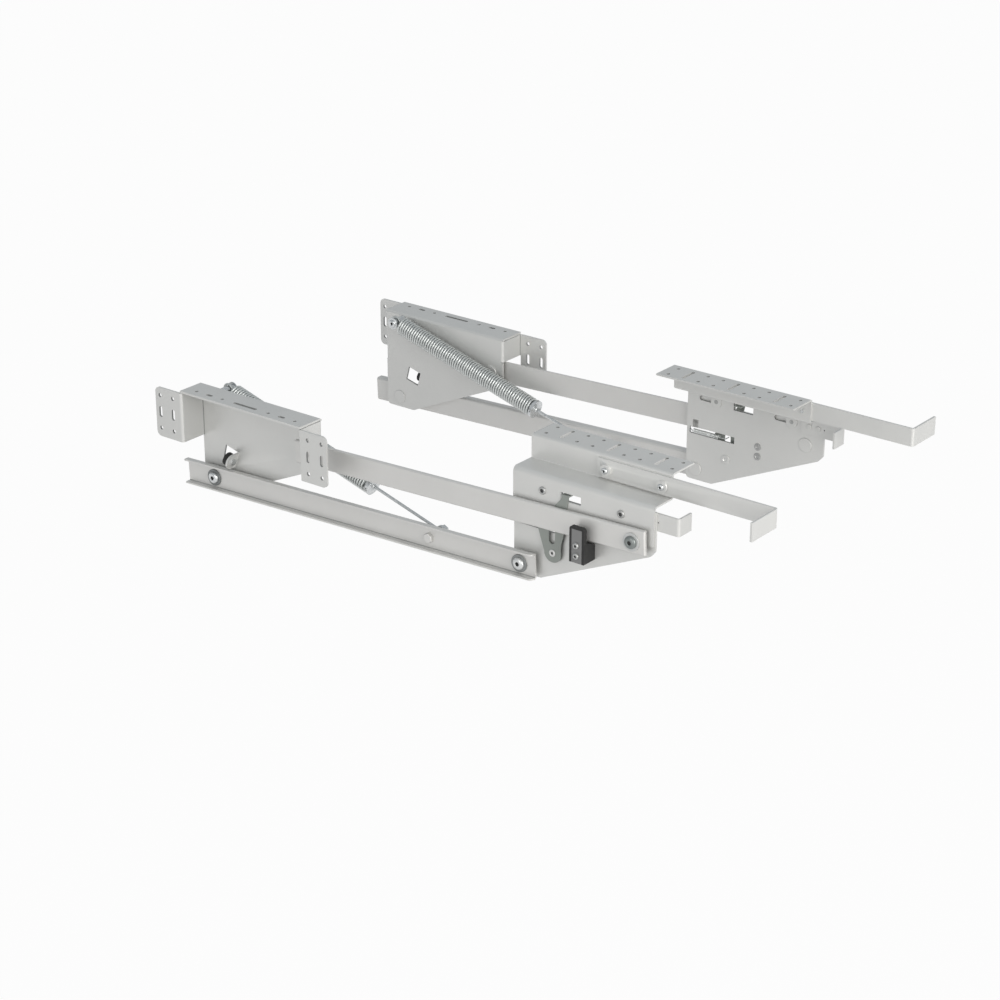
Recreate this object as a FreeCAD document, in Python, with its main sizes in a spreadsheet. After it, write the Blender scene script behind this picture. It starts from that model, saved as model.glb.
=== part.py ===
"""Pair of sprung swing-arm fittings that carry a shelf on a wall bed.

Each side has a fixed bracket, two parallel arms and a carriage that the arms keep level.
The right-hand side is built and the left-hand side is its mirror image in the plane X = 0.
The origin is midway between the sides, on the axis of the arms' lower rear pivots.
+Z is up and -Y points away from the wall.  All sizes are in millimetres and degrees.
"""
import FreeCAD
import Part
import Sketcher
import math
import os
import types

DIMENSIONS = {
    # linkage
    "arm_length": 557.0,
    "raise_angle": 2.08,
    "drop_angle": 107.0,
    "link_back": 181.3,
    "link_rise": 81.6,
    "origin_back": 424.31,
    "origin_up": 19.26,
    # sideways places of the plates, measured from the middle plane
    "outer_face": 250.0,
    "plate_face": 203.5,
    "carriage_face": 201.0,
    "plate_gauge": 3.0,
    "arm_face": 210.0,
    "arm_gauge": 2.5,
    "upper_face": 210.5,
    "upper_gauge": 5.0,
    "bend_radius": 4.0,
    "outer_bend": 3.95,
    "inner_bend": 0.95,
    "plate_corner": 6.0,
    # wall bracket
    "bracket_back": 25.6,
    "bracket_heel": 24.3,
    "bracket_front": 203.8,
    "bracket_top": 138.4,
    "bracket_low": 16.5,
    "bracket_foot": 28.0,
    "bracket_nose": 62.2,
    "tab_reach": 48.6,
    "tab_drop": 3.5,
    "tab_low": 59.7,
    "front_web_low": 101.6,
    "bend_slit": 1.0,
    "tab_hole_first": 14.5,
    "hole_pitch": 25.0,
    "tab_hole_top": 122.9,
    "tab_hole_radius": 3.0,
    "tab_slot_half": 5.3,
    "tab_corner": 8.0,
    "row_inset": 14.0,
    "row_middle": 89.1,
    "row_radius": 2.5,
    "row_long_half": 19.5,
    "row_short_half": 3.5,
    "row_first": 44.0,
    "row_slot": 69.0,
    "row_second": 94.0,
    # lowered stop on the bracket
    "window_near": 5.0,
    "tongue_near": 28.7,
    "tongue_low": 35.0,
    "tongue_width": 22.0,
    "tongue_reach": 23.0,
    "tongue_corner": 10.5,
    "pad_radius": 10.0,
    "pad_gap": 0.05,
    "pad_head_height": 2.4,
    # arms
    "arm_rise": 1.3,
    "lower_depth": 37.4,
    "lower_flange": 11.0,
    "lower_tail": 51.5,
    "lower_nose": 26.0,
    "nose_corner": 6.0,
    "upper_depth": 34.0,
    "upper_tail": 18.0,
    "upper_nose": 20.0,
    "upper_edge": 2.4,
    "upper_dimple_back": 115.0,
    "upper_dimple_depth": 2.5,
    # pivots
    "pin_radius": 5.0,
    "pin_play": 0.05,
    "open_pivot_play": 0.25,
    "pin_head_radius": 10.5,
    "pin_head_height": 1.2,
    "side_play": 0.1,
    "spacer_radius": 9.0,
    "washer_radius": 12.5,
    "washer_gauge": 1.8,
    "button_radius": 8.75,
    "button_height": 4.2,
    "rear_button_radius": 6.0,
    "rear_button_height": 3.0,
    "thread_radius": 2.5,
    "small_head_radius": 4.5,
    "small_head_height": 3.0,
    # counterbalance spring
    "stud_back": 9.7,
    "stud_rise": 129.8,
    "stud_radius": 6.0,
    "spring_plane": 186.0,
    "spring_arm": 402.0,
    "coil_start": 11.5,
    "coil_end": 277.5,
    "coil_radius": 14.0,
    "wire_radius": 1.75,
    "rod_radius": 2.2,
    "eye_radius": 8.5,
    "eye_gauge": 5.0,
    "bolt_radius": 4.0,
    "stud_reach": 8.0,
    "eye_gap": 0.3,
    "coil_turns": 61.0,
    "plug_seat": 0.4,
    "plug_stem": 22.0,
    "plug_head": 5.0,
    "plug_neck": 3.0,
    "rod_gap": 0.4,
    # carriage plate, measured from the lower front pivot
    "carriage_back": 15.6,
    "carriage_front": 210.5,
    "carriage_low": 16.5,
    "carriage_foot": 28.5,
    "carriage_nose": 71.0,
    "carriage_chin": 62.0,
    "chin_back": 202.5,
    "plate_gap": 0.5,
    # shelf angle
    "angle_gauge": 2.5,
    "angle_front": 209.0,
    "step_rise": 133.0,
    "step_bend": 7.0,
    "shelf_rise": 166.3,
    "shelf_inner": 119.0,
    "shelf_outer": 167.0,
    "leg_low": 78.0,
    "collar_room": 1.2,
    "plate_slot_back": 20.4,
    "plate_slot_half": 12.5,
    "plate_slot_radius": 3.6,
    "first_column": 1.5,
    "inner_row": 128.5,
    "clamp_back": 32.9,
    "clamp_pitch": 125.0,
    "clamp_rise": 110.8,
    "clamp_radius": 3.0,
    "clamp_head_radius": 5.5,
    "clamp_head_height": 2.5,
    "clamp_nut_radius": 9.0,
    "clamp_nut_height": 1.4,
    # latch
    "latch_back": 51.1,
    "latch_rise": 27.2,
    "latch_gauge": 2.0,
    "latch_play": 0.2,
    "latch_foot": 13.5,
    "latch_head_radius": 5.0,
    "latch_head_height": 1.2,
    "latch_window_back": 62.0,
    "latch_window_front": 94.5,
    "latch_window_low": 105.0,
    "latch_window_top": 116.5,
    "latch_tab_back": 65.0,
    "latch_tab_front": 77.0,
    "latch_tab_low": 108.5,
    "latch_tab_top": 114.5,
    "latch_tab_reach": 4.0,
    "latch_tab_gauge": 2.2,
    "latch_hip_back": 69.0,
    "latch_hip_rise": 58.0,
    "latch_neck_front": 73.5,
    "latch_neck_back": 56.0,
    "latch_neck_rise": 98.0,
    "latch_waist_back": 44.0,
    "latch_waist_rise": 80.0,
    "latch_heel_back": 27.0,
    "lever_slot_back": 50.0,
    "lever_slot_rise": 52.0,
    "lever_slot_half": 7.0,
    "lever_slot_radius": 5.0,
    # latch return spring and its slot
    "return_slot_rear": 11.0,
    "return_slot_front": 64.8,
    "return_slot_low": 54.0,
    "return_slot_top": 64.2,
    "return_notch_rear": 6.3,
    "return_notch_front": 3.5,
    "return_notch_top": 75.4,
    "latch_spring_plane": 200.0,
    "latch_spring_rise": 58.7,
    "latch_spring_radius": 3.4,
    "latch_spring_rear": 4.0,
    "latch_spring_length": 44.0,
    "latch_spring_turns": 24.0,
    "latch_wire_radius": 0.5,
    "latch_hook_radius": 0.7,
    "latch_hook_rear": 10.2,
    "latch_hook_front": 51.0,
    "latch_hook_reach": 3.5,
    # raised stop block
    "block_back": 93.2,
    "block_front": 116.5,
    "block_low": 35.0,
    "block_top": 85.5,
    "block_outer": 229.0,
    "lip_gauge": 6.0,
    "floor_outer": 64.0,
    "floor_inner": 56.5,
    "cover_gauge": 2.0,
    "block_rim": 3.5,
    "block_corner": 4.0,
    "block_screw_back": 104.3,
    "block_screw_low": 45.0,
    "block_screw_pitch": 14.6,
    "block_nut_radius": 5.5,
    # hooks
    "hook_gauge": 3.0,
    "hook_rear": 93.2,
    "hook_low": 135.2,
    "hook_top": 161.0,
    "long_hook_front": 366.2,
    "long_hook_tip": 226.0,
    "hook_corner": 1.0,
    "hook_screw_back": 108.1,
    "hook_screw_pitch": 87.8,
    "hook_screw_rise": 146.8,
    "boss_radius": 8.0,
    "boss_height": 4.0,
    "short_hook_low": 99.3,
    "short_hook_top": 123.6,
    "short_hook_back": 175.0,
    "short_hook_front": 243.6,
    "short_hook_tip": 173.0,
    "short_rivet_inset": 13.0,
    "short_hole_back": 212.0,
    "rivet_radius": 2.0,
    "rivet_head_radius": 3.8,
    "rivet_head_height": 1.6,
}

doc = FreeCAD.newDocument("SwingArmPair")
sheet = doc.addObject("Spreadsheet::Sheet", "dims")


class Dim:
    """A size that knows both its number and the sheet expression that drives it."""

    def __init__(self, value, text):
        self.value = float(value)
        self.text = text

    def __add__(self, other):
        other = dim(other)
        return Dim(self.value + other.value, f"({self.text} + {other.text})")

    def __sub__(self, other):
        other = dim(other)
        return Dim(self.value - other.value, f"({self.text} - {other.text})")

    def __mul__(self, other):
        other = dim(other)
        return Dim(self.value * other.value, f"({self.text} * {other.text})")

    def __truediv__(self, other):
        other = dim(other)
        return Dim(self.value / other.value, f"({self.text} / {other.text})")

    def __neg__(self):
        return dim(0) - self

    def __radd__(self, other):
        return dim(other) + self

    def __rsub__(self, other):
        return dim(other) - self


def dim(value):
    """Return value as a Dim, so plain numbers can stand in an expression."""
    if isinstance(value, Dim):
        return value
    return Dim(value, f"({value})")


def cosine(angle):
    """Cosine of an angle in degrees."""
    return Dim(math.cos(math.radians(angle.value)), f"cos({angle.text} * 1 deg)")


def sine(angle):
    """Sine of an angle in degrees."""
    return Dim(math.sin(math.radians(angle.value)), f"sin({angle.text} * 1 deg)")


def slope_angle(rise, run):
    """Angle in degrees of a line that climbs rise over run."""
    value = math.degrees(math.atan2(rise.value, run.value))
    return Dim(value, f"(atan({rise.text} / {run.text}) / 1 deg)")


def fill_sheet():
    """Write every driving dimension to the sheet and return them as named Dims."""
    for row, (alias, value) in enumerate(DIMENSIONS.items(), start=1):
        sheet.set(f"A{row}", alias)
        sheet.set(f"B{row}", str(value))
        sheet.setAlias(f"B{row}", alias)
    doc.recompute()
    return types.SimpleNamespace(
        **{alias: Dim(value, f"dims.{alias}") for alias, value in DIMENSIONS.items()})


d = fill_sheet()

# Places that several pieces share: Y and Z of the pivots, and faces of the plates.
plate_outer = d.plate_face + d.plate_gauge
carriage_outer = d.carriage_face + d.plate_gauge
leg_outer = carriage_outer + d.angle_gauge
lower_web_outer = d.arm_face + d.arm_gauge
upper_outer = d.upper_face + d.upper_gauge
front_y = -(d.arm_length * cosine(d.raise_angle))
front_z = d.arm_length * sine(d.raise_angle)
REAR_LOWER = (dim(0), dim(0))
REAR_UPPER = (-d.link_back, d.link_rise)
FRONT_LOWER = (front_y, front_z)
FRONT_UPPER = (front_y - d.link_back, front_z + d.link_rise)
STUD = (-d.stud_back, d.stud_rise)
spring_bolt_y = -(d.spring_arm * cosine(d.raise_angle))
spring_bolt_z = d.spring_arm * sine(d.raise_angle)
spring_slope = slope_angle(STUD[1] - spring_bolt_z, STUD[0] - spring_bolt_y)
spring_cosine = cosine(spring_slope)
spring_span = (STUD[0] - spring_bolt_y) / spring_cosine
stop_lean = d.drop_angle - d.raise_angle - 90


def carriage(back, rise):
    """Y and Z of a point given as back (forward of) and rise above the lower front pivot."""
    return (front_y - back, front_z + rise)


def stop_point(reach, along):
    """Y and Z of a point near the lowered stop, in the lowered arm's own directions."""
    return (-(reach * cosine(stop_lean)) - along * sine(stop_lean),
            along * cosine(stop_lean) - reach * sine(stop_lean))


# ---------------------------------------------------------------- drawing helpers

PLANE_OF = {"X": "YZ_Plane", "Y": "XZ_Plane", "Z": "XY_Plane"}
AXIS = {"X": FreeCAD.Vector(1, 0, 0), "Y": FreeCAD.Vector(0, 1, 0), "Z": FreeCAD.Vector(0, 0, 1)}


def bind(obj, prop, size):
    """Drive a property of obj from the sheet."""
    obj.setExpression(prop, dim(size).text)


def new_body(name):
    """Start a PartDesign body."""
    return doc.addObject("PartDesign::Body", name)


def polygon(points):
    """A closed outline through points, each a pair of Dims."""
    return ("polygon", points)


def circle(centre, radius):
    """A circle."""
    return ("circle", centre, radius)


def slot(centre, half, radius, along):
    """A round-ended slot whose end centres lie half to each side, along sketch axis 0 or 1."""
    return ("slot", centre, half, radius, along)


def rectangle(low, high):
    """A rectangle between two opposite corners."""
    return polygon([low, (high[0], low[1]), high, (low[0], high[1])])


def place_vertex(sketch, geometry, end, point):
    """Hold one end of a curve at a driven distance from the sketch origin."""
    for kind, size in (("DistanceX", dim(point[0])), ("DistanceY", dim(point[1]))):
        number = sketch.addConstraint(
            Sketcher.Constraint(kind, -1, 1, geometry, end, size.value))
        sketch.setExpression(f"Constraints[{number}]", size.text)


def draw_polygon(sketch, points):
    """Draw a closed run of lines with every corner driven."""
    corners = [FreeCAD.Vector(dim(p[0]).value, dim(p[1]).value, 0) for p in points]
    first = sketch.GeometryCount
    count = len(corners)
    for index in range(count):
        sketch.addGeometry(Part.LineSegment(corners[index], corners[(index + 1) % count]))
    for index in range(count):
        sketch.addConstraint(Sketcher.Constraint(
            "Coincident", first + index, 2, first + (index + 1) % count, 1))
    for index, point in enumerate(points):
        place_vertex(sketch, first + index, 1, point)


def draw_circle(sketch, centre, radius):
    """Draw a circle with its centre and radius driven."""
    middle = FreeCAD.Vector(dim(centre[0]).value, dim(centre[1]).value, 0)
    radius = dim(radius)
    geometry = sketch.addGeometry(Part.Circle(middle, AXIS["Z"], radius.value))
    number = sketch.addConstraint(Sketcher.Constraint("Radius", geometry, radius.value))
    sketch.setExpression(f"Constraints[{number}]", radius.text)
    place_vertex(sketch, geometry, 3, centre)


def draw_slot(sketch, centre, half, radius, along):
    """Draw a slot from two half circles and two lines."""
    radius = dim(radius)
    ends = []
    for sign in (-1, 1):
        shift = dim(half) * sign
        ends.append((centre[0] + shift, centre[1]) if along == 0 else (centre[0], centre[1] + shift))
    start = math.pi / 2 if along == 0 else math.pi
    arcs = []
    for index, end in enumerate(ends):
        middle = FreeCAD.Vector(dim(end[0]).value, dim(end[1]).value, 0)
        full = Part.Circle(middle, AXIS["Z"], radius.value)
        low = start + index * math.pi
        arcs.append(sketch.addGeometry(Part.ArcOfCircle(full, low, low + math.pi)))
    for one, other in (arcs, arcs[::-1]):
        tail = sketch.getPoint(one, 2)
        head = sketch.getPoint(other, 1)
        line = sketch.addGeometry(Part.LineSegment(tail, head))
        sketch.addConstraint(Sketcher.Constraint("Tangent", one, 2, line, 1))
        sketch.addConstraint(Sketcher.Constraint("Tangent", line, 2, other, 1))
    number = sketch.addConstraint(Sketcher.Constraint("Radius", arcs[0], radius.value))
    sketch.setExpression(f"Constraints[{number}]", radius.text)
    for arc, end in zip(arcs, ends):
        place_vertex(sketch, arc, 3, end)


DRAW = {"polygon": draw_polygon, "circle": draw_circle, "slot": draw_slot}


def new_sketch(body, axis, offset, loops):
    """Draw loops on the body's origin plane that faces axis, moved along it by offset."""
    sketch = body.newObject("Sketcher::SketchObject", f"{body.Name}_sketch")
    plane = next(f for f in body.Origin.OriginFeatures if f.Role == PLANE_OF[axis])
    sketch.AttachmentSupport = [(plane, "")]
    sketch.MapMode = "FlatFace"
    bind(sketch, "AttachmentOffset.Base.z", offset)
    for kind, *shape in loops:
        DRAW[kind](sketch, *shape)
    return sketch


def pad(body, axis, low, high, loops):
    """Add material between low and high along axis."""
    low = dim(low)
    high = dim(high)
    # The XZ plane faces -Y, so along Y the sketch stands at the high side.
    sketch = new_sketch(body, axis, -high if axis == "Y" else low, loops)
    feature = body.newObject("PartDesign::Pad", f"{body.Name}_pad")
    feature.Profile = sketch
    bind(feature, "Length", high - low)
    return feature


def pocket(body, axis, low, high, loops):
    """Remove material between low and high along axis."""
    low = dim(low)
    high = dim(high)
    sketch = new_sketch(body, axis, -low if axis == "Y" else high, loops)
    feature = body.newObject("PartDesign::Pocket", f"{body.Name}_pocket")
    feature.Profile = sketch
    bind(feature, "Length", high - low)
    doc.recompute()
    before = feature.BaseFeature.Shape.Volume
    if feature.Shape.Volume > before - 1e-3:
        raise RuntimeError(f"{feature.Name} removed nothing")
    return feature


def straight_edges(shape, axis, places):
    """Names of the straight edges along axis through any of places, given in axis order."""
    others = [index for index in range(3) if index != "XYZ".index(axis)]
    names = []
    for number, edge in enumerate(shape.Edges, start=1):
        if edge.Curve.TypeId != "Part::GeomLine":
            continue
        first = edge.Vertexes[0].Point
        last = edge.Vertexes[-1].Point
        if any(abs(first[index] - last[index]) > 1e-4 for index in others):
            continue
        for place in places:
            if all(abs(first[index] - dim(value).value) < 0.01 for index, value in zip(others, place)):
                names.append(f"Edge{number}")
                break
    return names


def round_edges(body, radius, picks):
    """Fillet the body's straight edges; picks pairs an axis with the places of its edges."""
    doc.recompute()
    tip = body.Tip
    names = []
    for axis, places in picks:
        found = straight_edges(tip.Shape, axis, places)
        if len(found) < len(places):
            raise RuntimeError(f"{body.Name}: {len(found)} of {len(places)} edges along {axis}")
        names.extend(found)
    feature = body.newObject("PartDesign::Fillet", f"{body.Name}_fillet")
    feature.Base = (tip, names)
    bind(feature, "Radius", radius)
    doc.recompute()
    return feature


def round_corners(body, radius, points):
    """Fillet the body's straight edges that pass through points."""
    doc.recompute()
    tip = body.Tip
    names = []
    for point in points:
        spot = Part.Vertex(*[dim(value).value for value in point])
        found = [f"Edge{number}" for number, edge in enumerate(tip.Shape.Edges, start=1)
                 if edge.distToShape(spot)[0] < 0.01]
        if len(found) != 1:
            raise RuntimeError(f"{body.Name}: {len(found)} edges through a corner")
        names.extend(found)
    feature = body.newObject("PartDesign::Fillet", f"{body.Name}_fillet")
    feature.Base = (tip, names)
    bind(feature, "Radius", radius)
    doc.recompute()
    return feature


def cylinder(name, axis, start, end, centre, radius):
    """A cylinder along axis from start to end, whose other two coordinates are centre."""
    start = dim(start)
    end = dim(end)
    rod = doc.addObject("Part::Cylinder", name)
    turn = {"X": FreeCAD.Rotation(AXIS["Y"], 90), "Y": FreeCAD.Rotation(AXIS["X"], -90),
            "Z": FreeCAD.Rotation()}[axis]
    rod.Placement = FreeCAD.Placement(FreeCAD.Vector(), turn)
    places = {"X": (start, centre[0], centre[1]), "Y": (centre[0], start, centre[1]),
              "Z": (centre[0], centre[1], start)}[axis]
    for letter, place in zip("xyz", places):
        bind(rod, f"Placement.Base.{letter}", place)
    bind(rod, "Radius", radius)
    bind(rod, "Height", end - start)
    return rod


def cut(name, base, *tools):
    """base less every tool."""
    for number, tool in enumerate(tools, start=1):
        step = doc.addObject("Part::Cut", f"{name}_cut{number}")
        step.Base = base
        step.Tool = tool
        base = step
    return base


def fuse(name, *pieces):
    """One solid out of touching pieces."""
    joined = doc.addObject("Part::MultiFuse", name)
    joined.Shapes = list(pieces)
    joined.Refine = True
    return joined


def compound(name, pieces):
    """Several separate solids in one node."""
    group = doc.addObject("Part::Compound", name)
    group.Links = list(pieces)
    return group


def mirrored(name, piece):
    """The left-hand twin of a right-hand piece."""
    twin = doc.addObject("Part::Mirroring", name)
    twin.Source = piece
    twin.Normal = AXIS["X"]
    return twin


def turned_hexagon(name, start, end, centre, radius):
    """A hexagonal prism along X, for sockets and nuts."""
    prism = doc.addObject("Part::Prism", name)
    prism.Polygon = 6
    prism.Placement = FreeCAD.Placement(FreeCAD.Vector(), FreeCAD.Rotation(AXIS["Y"], 90))
    for letter, place in zip("xyz", (dim(start), centre[0], centre[1])):
        bind(prism, f"Placement.Base.{letter}", place)
    bind(prism, "Circumradius", radius)
    bind(prism, "Height", dim(end) - dim(start))
    return prism


def ordered(one, other):
    """Two Dims, the smaller first."""
    return (one, other) if one.value <= other.value else (other, one)


def dome_screw(name, seat, centre, radius, height, shank_end, shank_radius, side=1):
    """A domed socket screw along X; its head stands on seat and faces the way of side."""
    seat = dim(seat)
    radius = dim(radius)
    height = dim(height)
    crown = seat + height * side
    head = cylinder(f"{name}_head", "X", *ordered(seat, crown), centre, radius)
    doc.recompute()
    rim = next(number for number, edge in enumerate(head.Shape.Edges, start=1)
               if edge.Curve.TypeId == "Part::GeomCircle"
               and abs(edge.CenterOfMass.x - crown.value) < 0.01)
    dome = doc.addObject("Part::Fillet", f"{name}_dome")
    dome.Base = head
    dome.Edges = [(rim, height.value * 0.7, height.value * 0.7)]
    socket_floor = seat + height * side * 0.4
    socket = turned_hexagon(f"{name}_socket", *ordered(socket_floor, crown + side), centre,
                            radius * 0.42)
    top = cut(f"{name}_top", dome, socket)
    shank = cylinder(f"{name}_shank", "X", *ordered(dim(shank_end), seat), centre, shank_radius)
    return fuse(name, top, shank)


# ---------------------------------------------------------------- wall bracket

def end_web(name, edge, side, web_low):
    """One end web bent outward from the plate and its screw tab; side is +1 at the wall end."""
    body = new_body(name)
    inner = edge - d.plate_gauge * side
    leg = edge - d.bend_radius * side
    tip = edge + d.tab_reach * side
    tab_inner = d.outer_face - d.plate_gauge
    tab_start = edge + d.bend_slit * side
    web_top = d.bracket_top - d.bend_radius
    tab_top = d.bracket_top - d.tab_drop
    pad(body, "Z", web_low, web_top, [polygon([
        (d.plate_face, leg), (plate_outer, leg), (plate_outer, inner), (d.outer_face, inner),
        (d.outer_face, tip), (tab_inner, tip), (tab_inner, edge), (d.plate_face, edge)])])
    pad(body, "X", tab_inner, d.outer_face,
        [rectangle((tab_start, d.tab_low), (tip, tab_top))])
    pocket(body, "X", tab_inner, d.outer_face, tab_holes(edge, side))
    round_edges(body, d.outer_bend, [
        ("Z", [(d.plate_face, edge), (d.outer_face, inner)])])
    round_edges(body, d.inner_bend, [("Z", [(plate_outer, inner), (tab_inner, edge)])])
    round_edges(body, d.tab_corner, [("X", [(tip, tab_top), (tip, d.tab_low)])])
    return body


def tab_holes(edge, side):
    """Two columns of hole, upright slot and hole."""
    loops = []
    for column in range(2):
        y = edge + (d.tab_hole_first + d.hole_pitch * column) * side
        z = d.tab_hole_top
        loops.append(circle((y, z), d.tab_hole_radius))
        loops.append(slot((y, z - d.hole_pitch), d.tab_slot_half, d.tab_hole_radius, 1))
        loops.append(circle((y, z - d.hole_pitch * 2), d.tab_hole_radius))
    return loops


def top_flange():
    """The flange along the top of the bracket with its row of holes and slots."""
    body = new_body("bracket_top_flange")
    low = d.bracket_top - d.bend_radius
    under = d.bracket_top - d.plate_gauge
    flange_edge = d.outer_face - d.bend_slit
    pad(body, "Y", -d.bracket_front, d.bracket_back, [polygon([
        (d.plate_face, low), (plate_outer, low), (plate_outer, under), (flange_edge, under),
        (flange_edge, d.bracket_top), (d.plate_face, d.bracket_top)])])
    x = d.outer_face - d.row_inset
    middle = -d.row_middle
    loops = [slot((x, middle), d.row_long_half, d.row_radius, 1)]
    for side in (-1, 1):
        for step in (d.row_first, d.row_second):
            loops.append(circle((x, middle + step * side), d.row_radius))
        loops.append(slot((x, middle + d.row_slot * side), d.row_short_half, d.row_radius, 1))
    pocket(body, "Z", under, d.bracket_top, loops)
    round_edges(body, d.outer_bend, [("Y", [(d.plate_face, d.bracket_top)])])
    round_edges(body, d.inner_bend, [("Y", [(plate_outer, under)])])
    return body


def bracket_plate():
    """The upright plate with its pivot holes, and the stop tongue lanced out of it."""
    body = new_body("bracket_plate")
    back = d.bracket_back
    front = -d.bracket_front
    top = d.bracket_top - d.bend_radius
    pad(body, "X", d.plate_face, plate_outer, [polygon([
        (back - d.bend_radius, top), (back - d.bend_radius, d.tab_low - d.bend_slit),
        (d.bracket_heel, d.tab_low - d.bend_slit), (d.bracket_heel, -d.bracket_low),
        (-d.bracket_foot, -d.bracket_low), (front, d.bracket_nose),
        (front, d.front_web_low - d.bend_slit),
        (front + d.bend_radius, d.front_web_low - d.bend_slit),
        (front + d.bend_radius, top)])])
    far = d.tongue_near + d.plate_gauge
    high = d.tongue_low + d.tongue_width
    pad(body, "X", d.plate_face, plate_outer + d.tongue_reach, [polygon([
        stop_point(d.tongue_near, d.tongue_low), stop_point(far, d.tongue_low),
        stop_point(far, high), stop_point(d.tongue_near, high)])])
    pocket(body, "X", d.plate_face, plate_outer, [polygon([
        stop_point(d.window_near, d.tongue_low), stop_point(d.tongue_near, d.tongue_low),
        stop_point(d.tongue_near, high), stop_point(d.window_near, high)])])
    pocket(body, "X", d.plate_face, plate_outer, [
        circle(REAR_LOWER, d.pin_radius + d.pin_play),
        circle(REAR_UPPER, d.pin_radius + d.pin_play),
        circle(STUD, d.bolt_radius + d.pin_play)])
    round_edges(body, d.plate_corner, [("X", [
        (-d.bracket_foot, -d.bracket_low), (d.bracket_heel, -d.bracket_low),
        (front, d.bracket_nose)])])
    tongue_tip = plate_outer + d.tongue_reach
    middle = d.tongue_near + d.plate_gauge / 2
    round_corners(body, d.tongue_corner, [
        (tongue_tip, *stop_point(middle, along)) for along in (d.tongue_low, high)])
    return body


def wall_bracket():
    """The whole pressed bracket."""
    screw_hole = leaning_cylinder("stop_screw_hole", d.tongue_near - 1,
                                  d.tongue_near + d.plate_gauge + 1, d.thread_radius)
    plate = cut("bracket_plate_drilled", bracket_plate(), screw_hole)
    rear = end_web("bracket_rear_web", d.bracket_back, 1, d.tab_low)
    front = end_web("bracket_front_web", -d.bracket_front, -1, d.front_web_low)
    return fuse("right_bracket_shape", plate, top_flange(), rear, front)


def leaning_cylinder(name, near, far, radius):
    """A cylinder square to the stop tongue, from near to far, in front of the lowered arm."""
    near = dim(near)
    rod = doc.addObject("Part::Cylinder", name)
    rod.Placement.Rotation = FreeCAD.Rotation(AXIS["X"], 90 + stop_lean.value)
    bind(rod, "Placement.Rotation.Angle", 90 + stop_lean)
    along = d.tongue_low + d.tongue_width / 2
    y, z = stop_point(near, along)
    bind(rod, "Placement.Base.x", plate_outer + d.tongue_reach / 2 - 0.5)
    bind(rod, "Placement.Base.y", y)
    bind(rod, "Placement.Base.z", z)
    bind(rod, "Radius", radius)
    bind(rod, "Height", dim(far) - near)
    return rod


def stop_pad():
    """Rubber pad on the tongue that the lowered arm's tail comes to rest on."""
    arm_side = d.arm_rise + d.lower_depth / 2
    disc = leaning_cylinder("pad_disc", arm_side + d.pad_gap, d.tongue_near, d.pad_radius)
    hollow = leaning_cylinder("pad_hollow", d.tongue_near - 3, d.tongue_near + 1,
                              d.thread_radius)
    return cut("pad", disc, hollow)


def stop_pad_screw():
    """Screw that holds the rubber pad from the far side of the tongue."""
    face = d.tongue_near + d.plate_gauge
    head = leaning_cylinder("pad_screw_head", face, face + d.pad_head_height,
                            d.thread_radius * 2)
    shank = leaning_cylinder("pad_screw_shank", d.tongue_near - 2.9, face,
                             d.thread_radius - 0.05)
    return fuse("pad_screw", head, shank)


# ---------------------------------------------------------------- pivots

def pivot_pin(name, centre, plate, arm_inner, arm_outer):
    """Shouldered pin through the plate: flush head inside, collar, then the bearing."""
    seat = arm_outer + d.side_play
    plate_far = plate + d.plate_gauge
    head = cylinder(f"{name}_head", "X", plate - d.pin_head_height, plate, centre,
                    d.pin_head_radius)
    shank = cylinder(f"{name}_shank", "X", plate, seat, centre, d.pin_radius)
    collar = cylinder(f"{name}_collar", "X", plate_far, arm_inner - d.side_play, centre,
                      d.spacer_radius)
    bore = cylinder(f"{name}_bore", "X", plate_far, seat + 1, centre, d.thread_radius)
    return cut(name, fuse(f"{name}_solid", head, shank, collar), bore)


def pivot_washer(name, centre, arm_outer):
    """Plain washer between the arm and the screw head."""
    near = arm_outer + d.side_play
    disc = cylinder(f"{name}_disc", "X", near, near + d.washer_gauge, centre, d.washer_radius)
    hole = cylinder(f"{name}_hole", "X", near - 1, near + d.washer_gauge + 1, centre,
                    d.thread_radius)
    return cut(name, disc, hole)


def pivot_screw(name, centre, plate, arm_outer):
    """Domed socket screw over a washer in the end of the pin."""
    seat = arm_outer + d.side_play + d.washer_gauge
    return dome_screw(name, seat, centre, d.button_radius, d.button_height,
                      plate + d.plate_gauge + 0.5, d.thread_radius - d.pin_play)


def rear_upper_screw():
    """Smaller domed screw, without a washer, in the end of the rear upper pin."""
    return dome_screw("bracket_upper_screw", upper_outer + d.side_play, REAR_UPPER,
                      d.rear_button_radius, d.rear_button_height, plate_outer + 0.5,
                      d.thread_radius - d.pin_play)


def bracket_pins():
    """The two pins of the wall bracket."""
    return [pivot_pin("bracket_lower_pin", REAR_LOWER, d.plate_face, d.arm_face, lower_web_outer),
            pivot_pin("bracket_upper_pin", REAR_UPPER, d.plate_face, d.upper_face, upper_outer)]


def carriage_pins():
    """The two pins of the carriage plate."""
    return [pivot_pin("carriage_lower_pin", FRONT_LOWER, d.carriage_face, d.arm_face,
                      lower_web_outer),
            pivot_pin("carriage_upper_pin", FRONT_UPPER, d.carriage_face, d.upper_face,
                      upper_outer)]


def carriage_washers():
    """The washers under the carriage's two pivot screws."""
    return [pivot_washer("carriage_lower_washer", FRONT_LOWER, lower_web_outer),
            pivot_washer("carriage_upper_washer", FRONT_UPPER, upper_outer)]


def carriage_screws():
    """The screws of the carriage's two pivots."""
    return [pivot_screw("carriage_lower_screw", FRONT_LOWER, d.carriage_face, lower_web_outer),
            pivot_screw("carriage_upper_screw", FRONT_UPPER, d.carriage_face, upper_outer)]


# ---------------------------------------------------------------- arms

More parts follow.
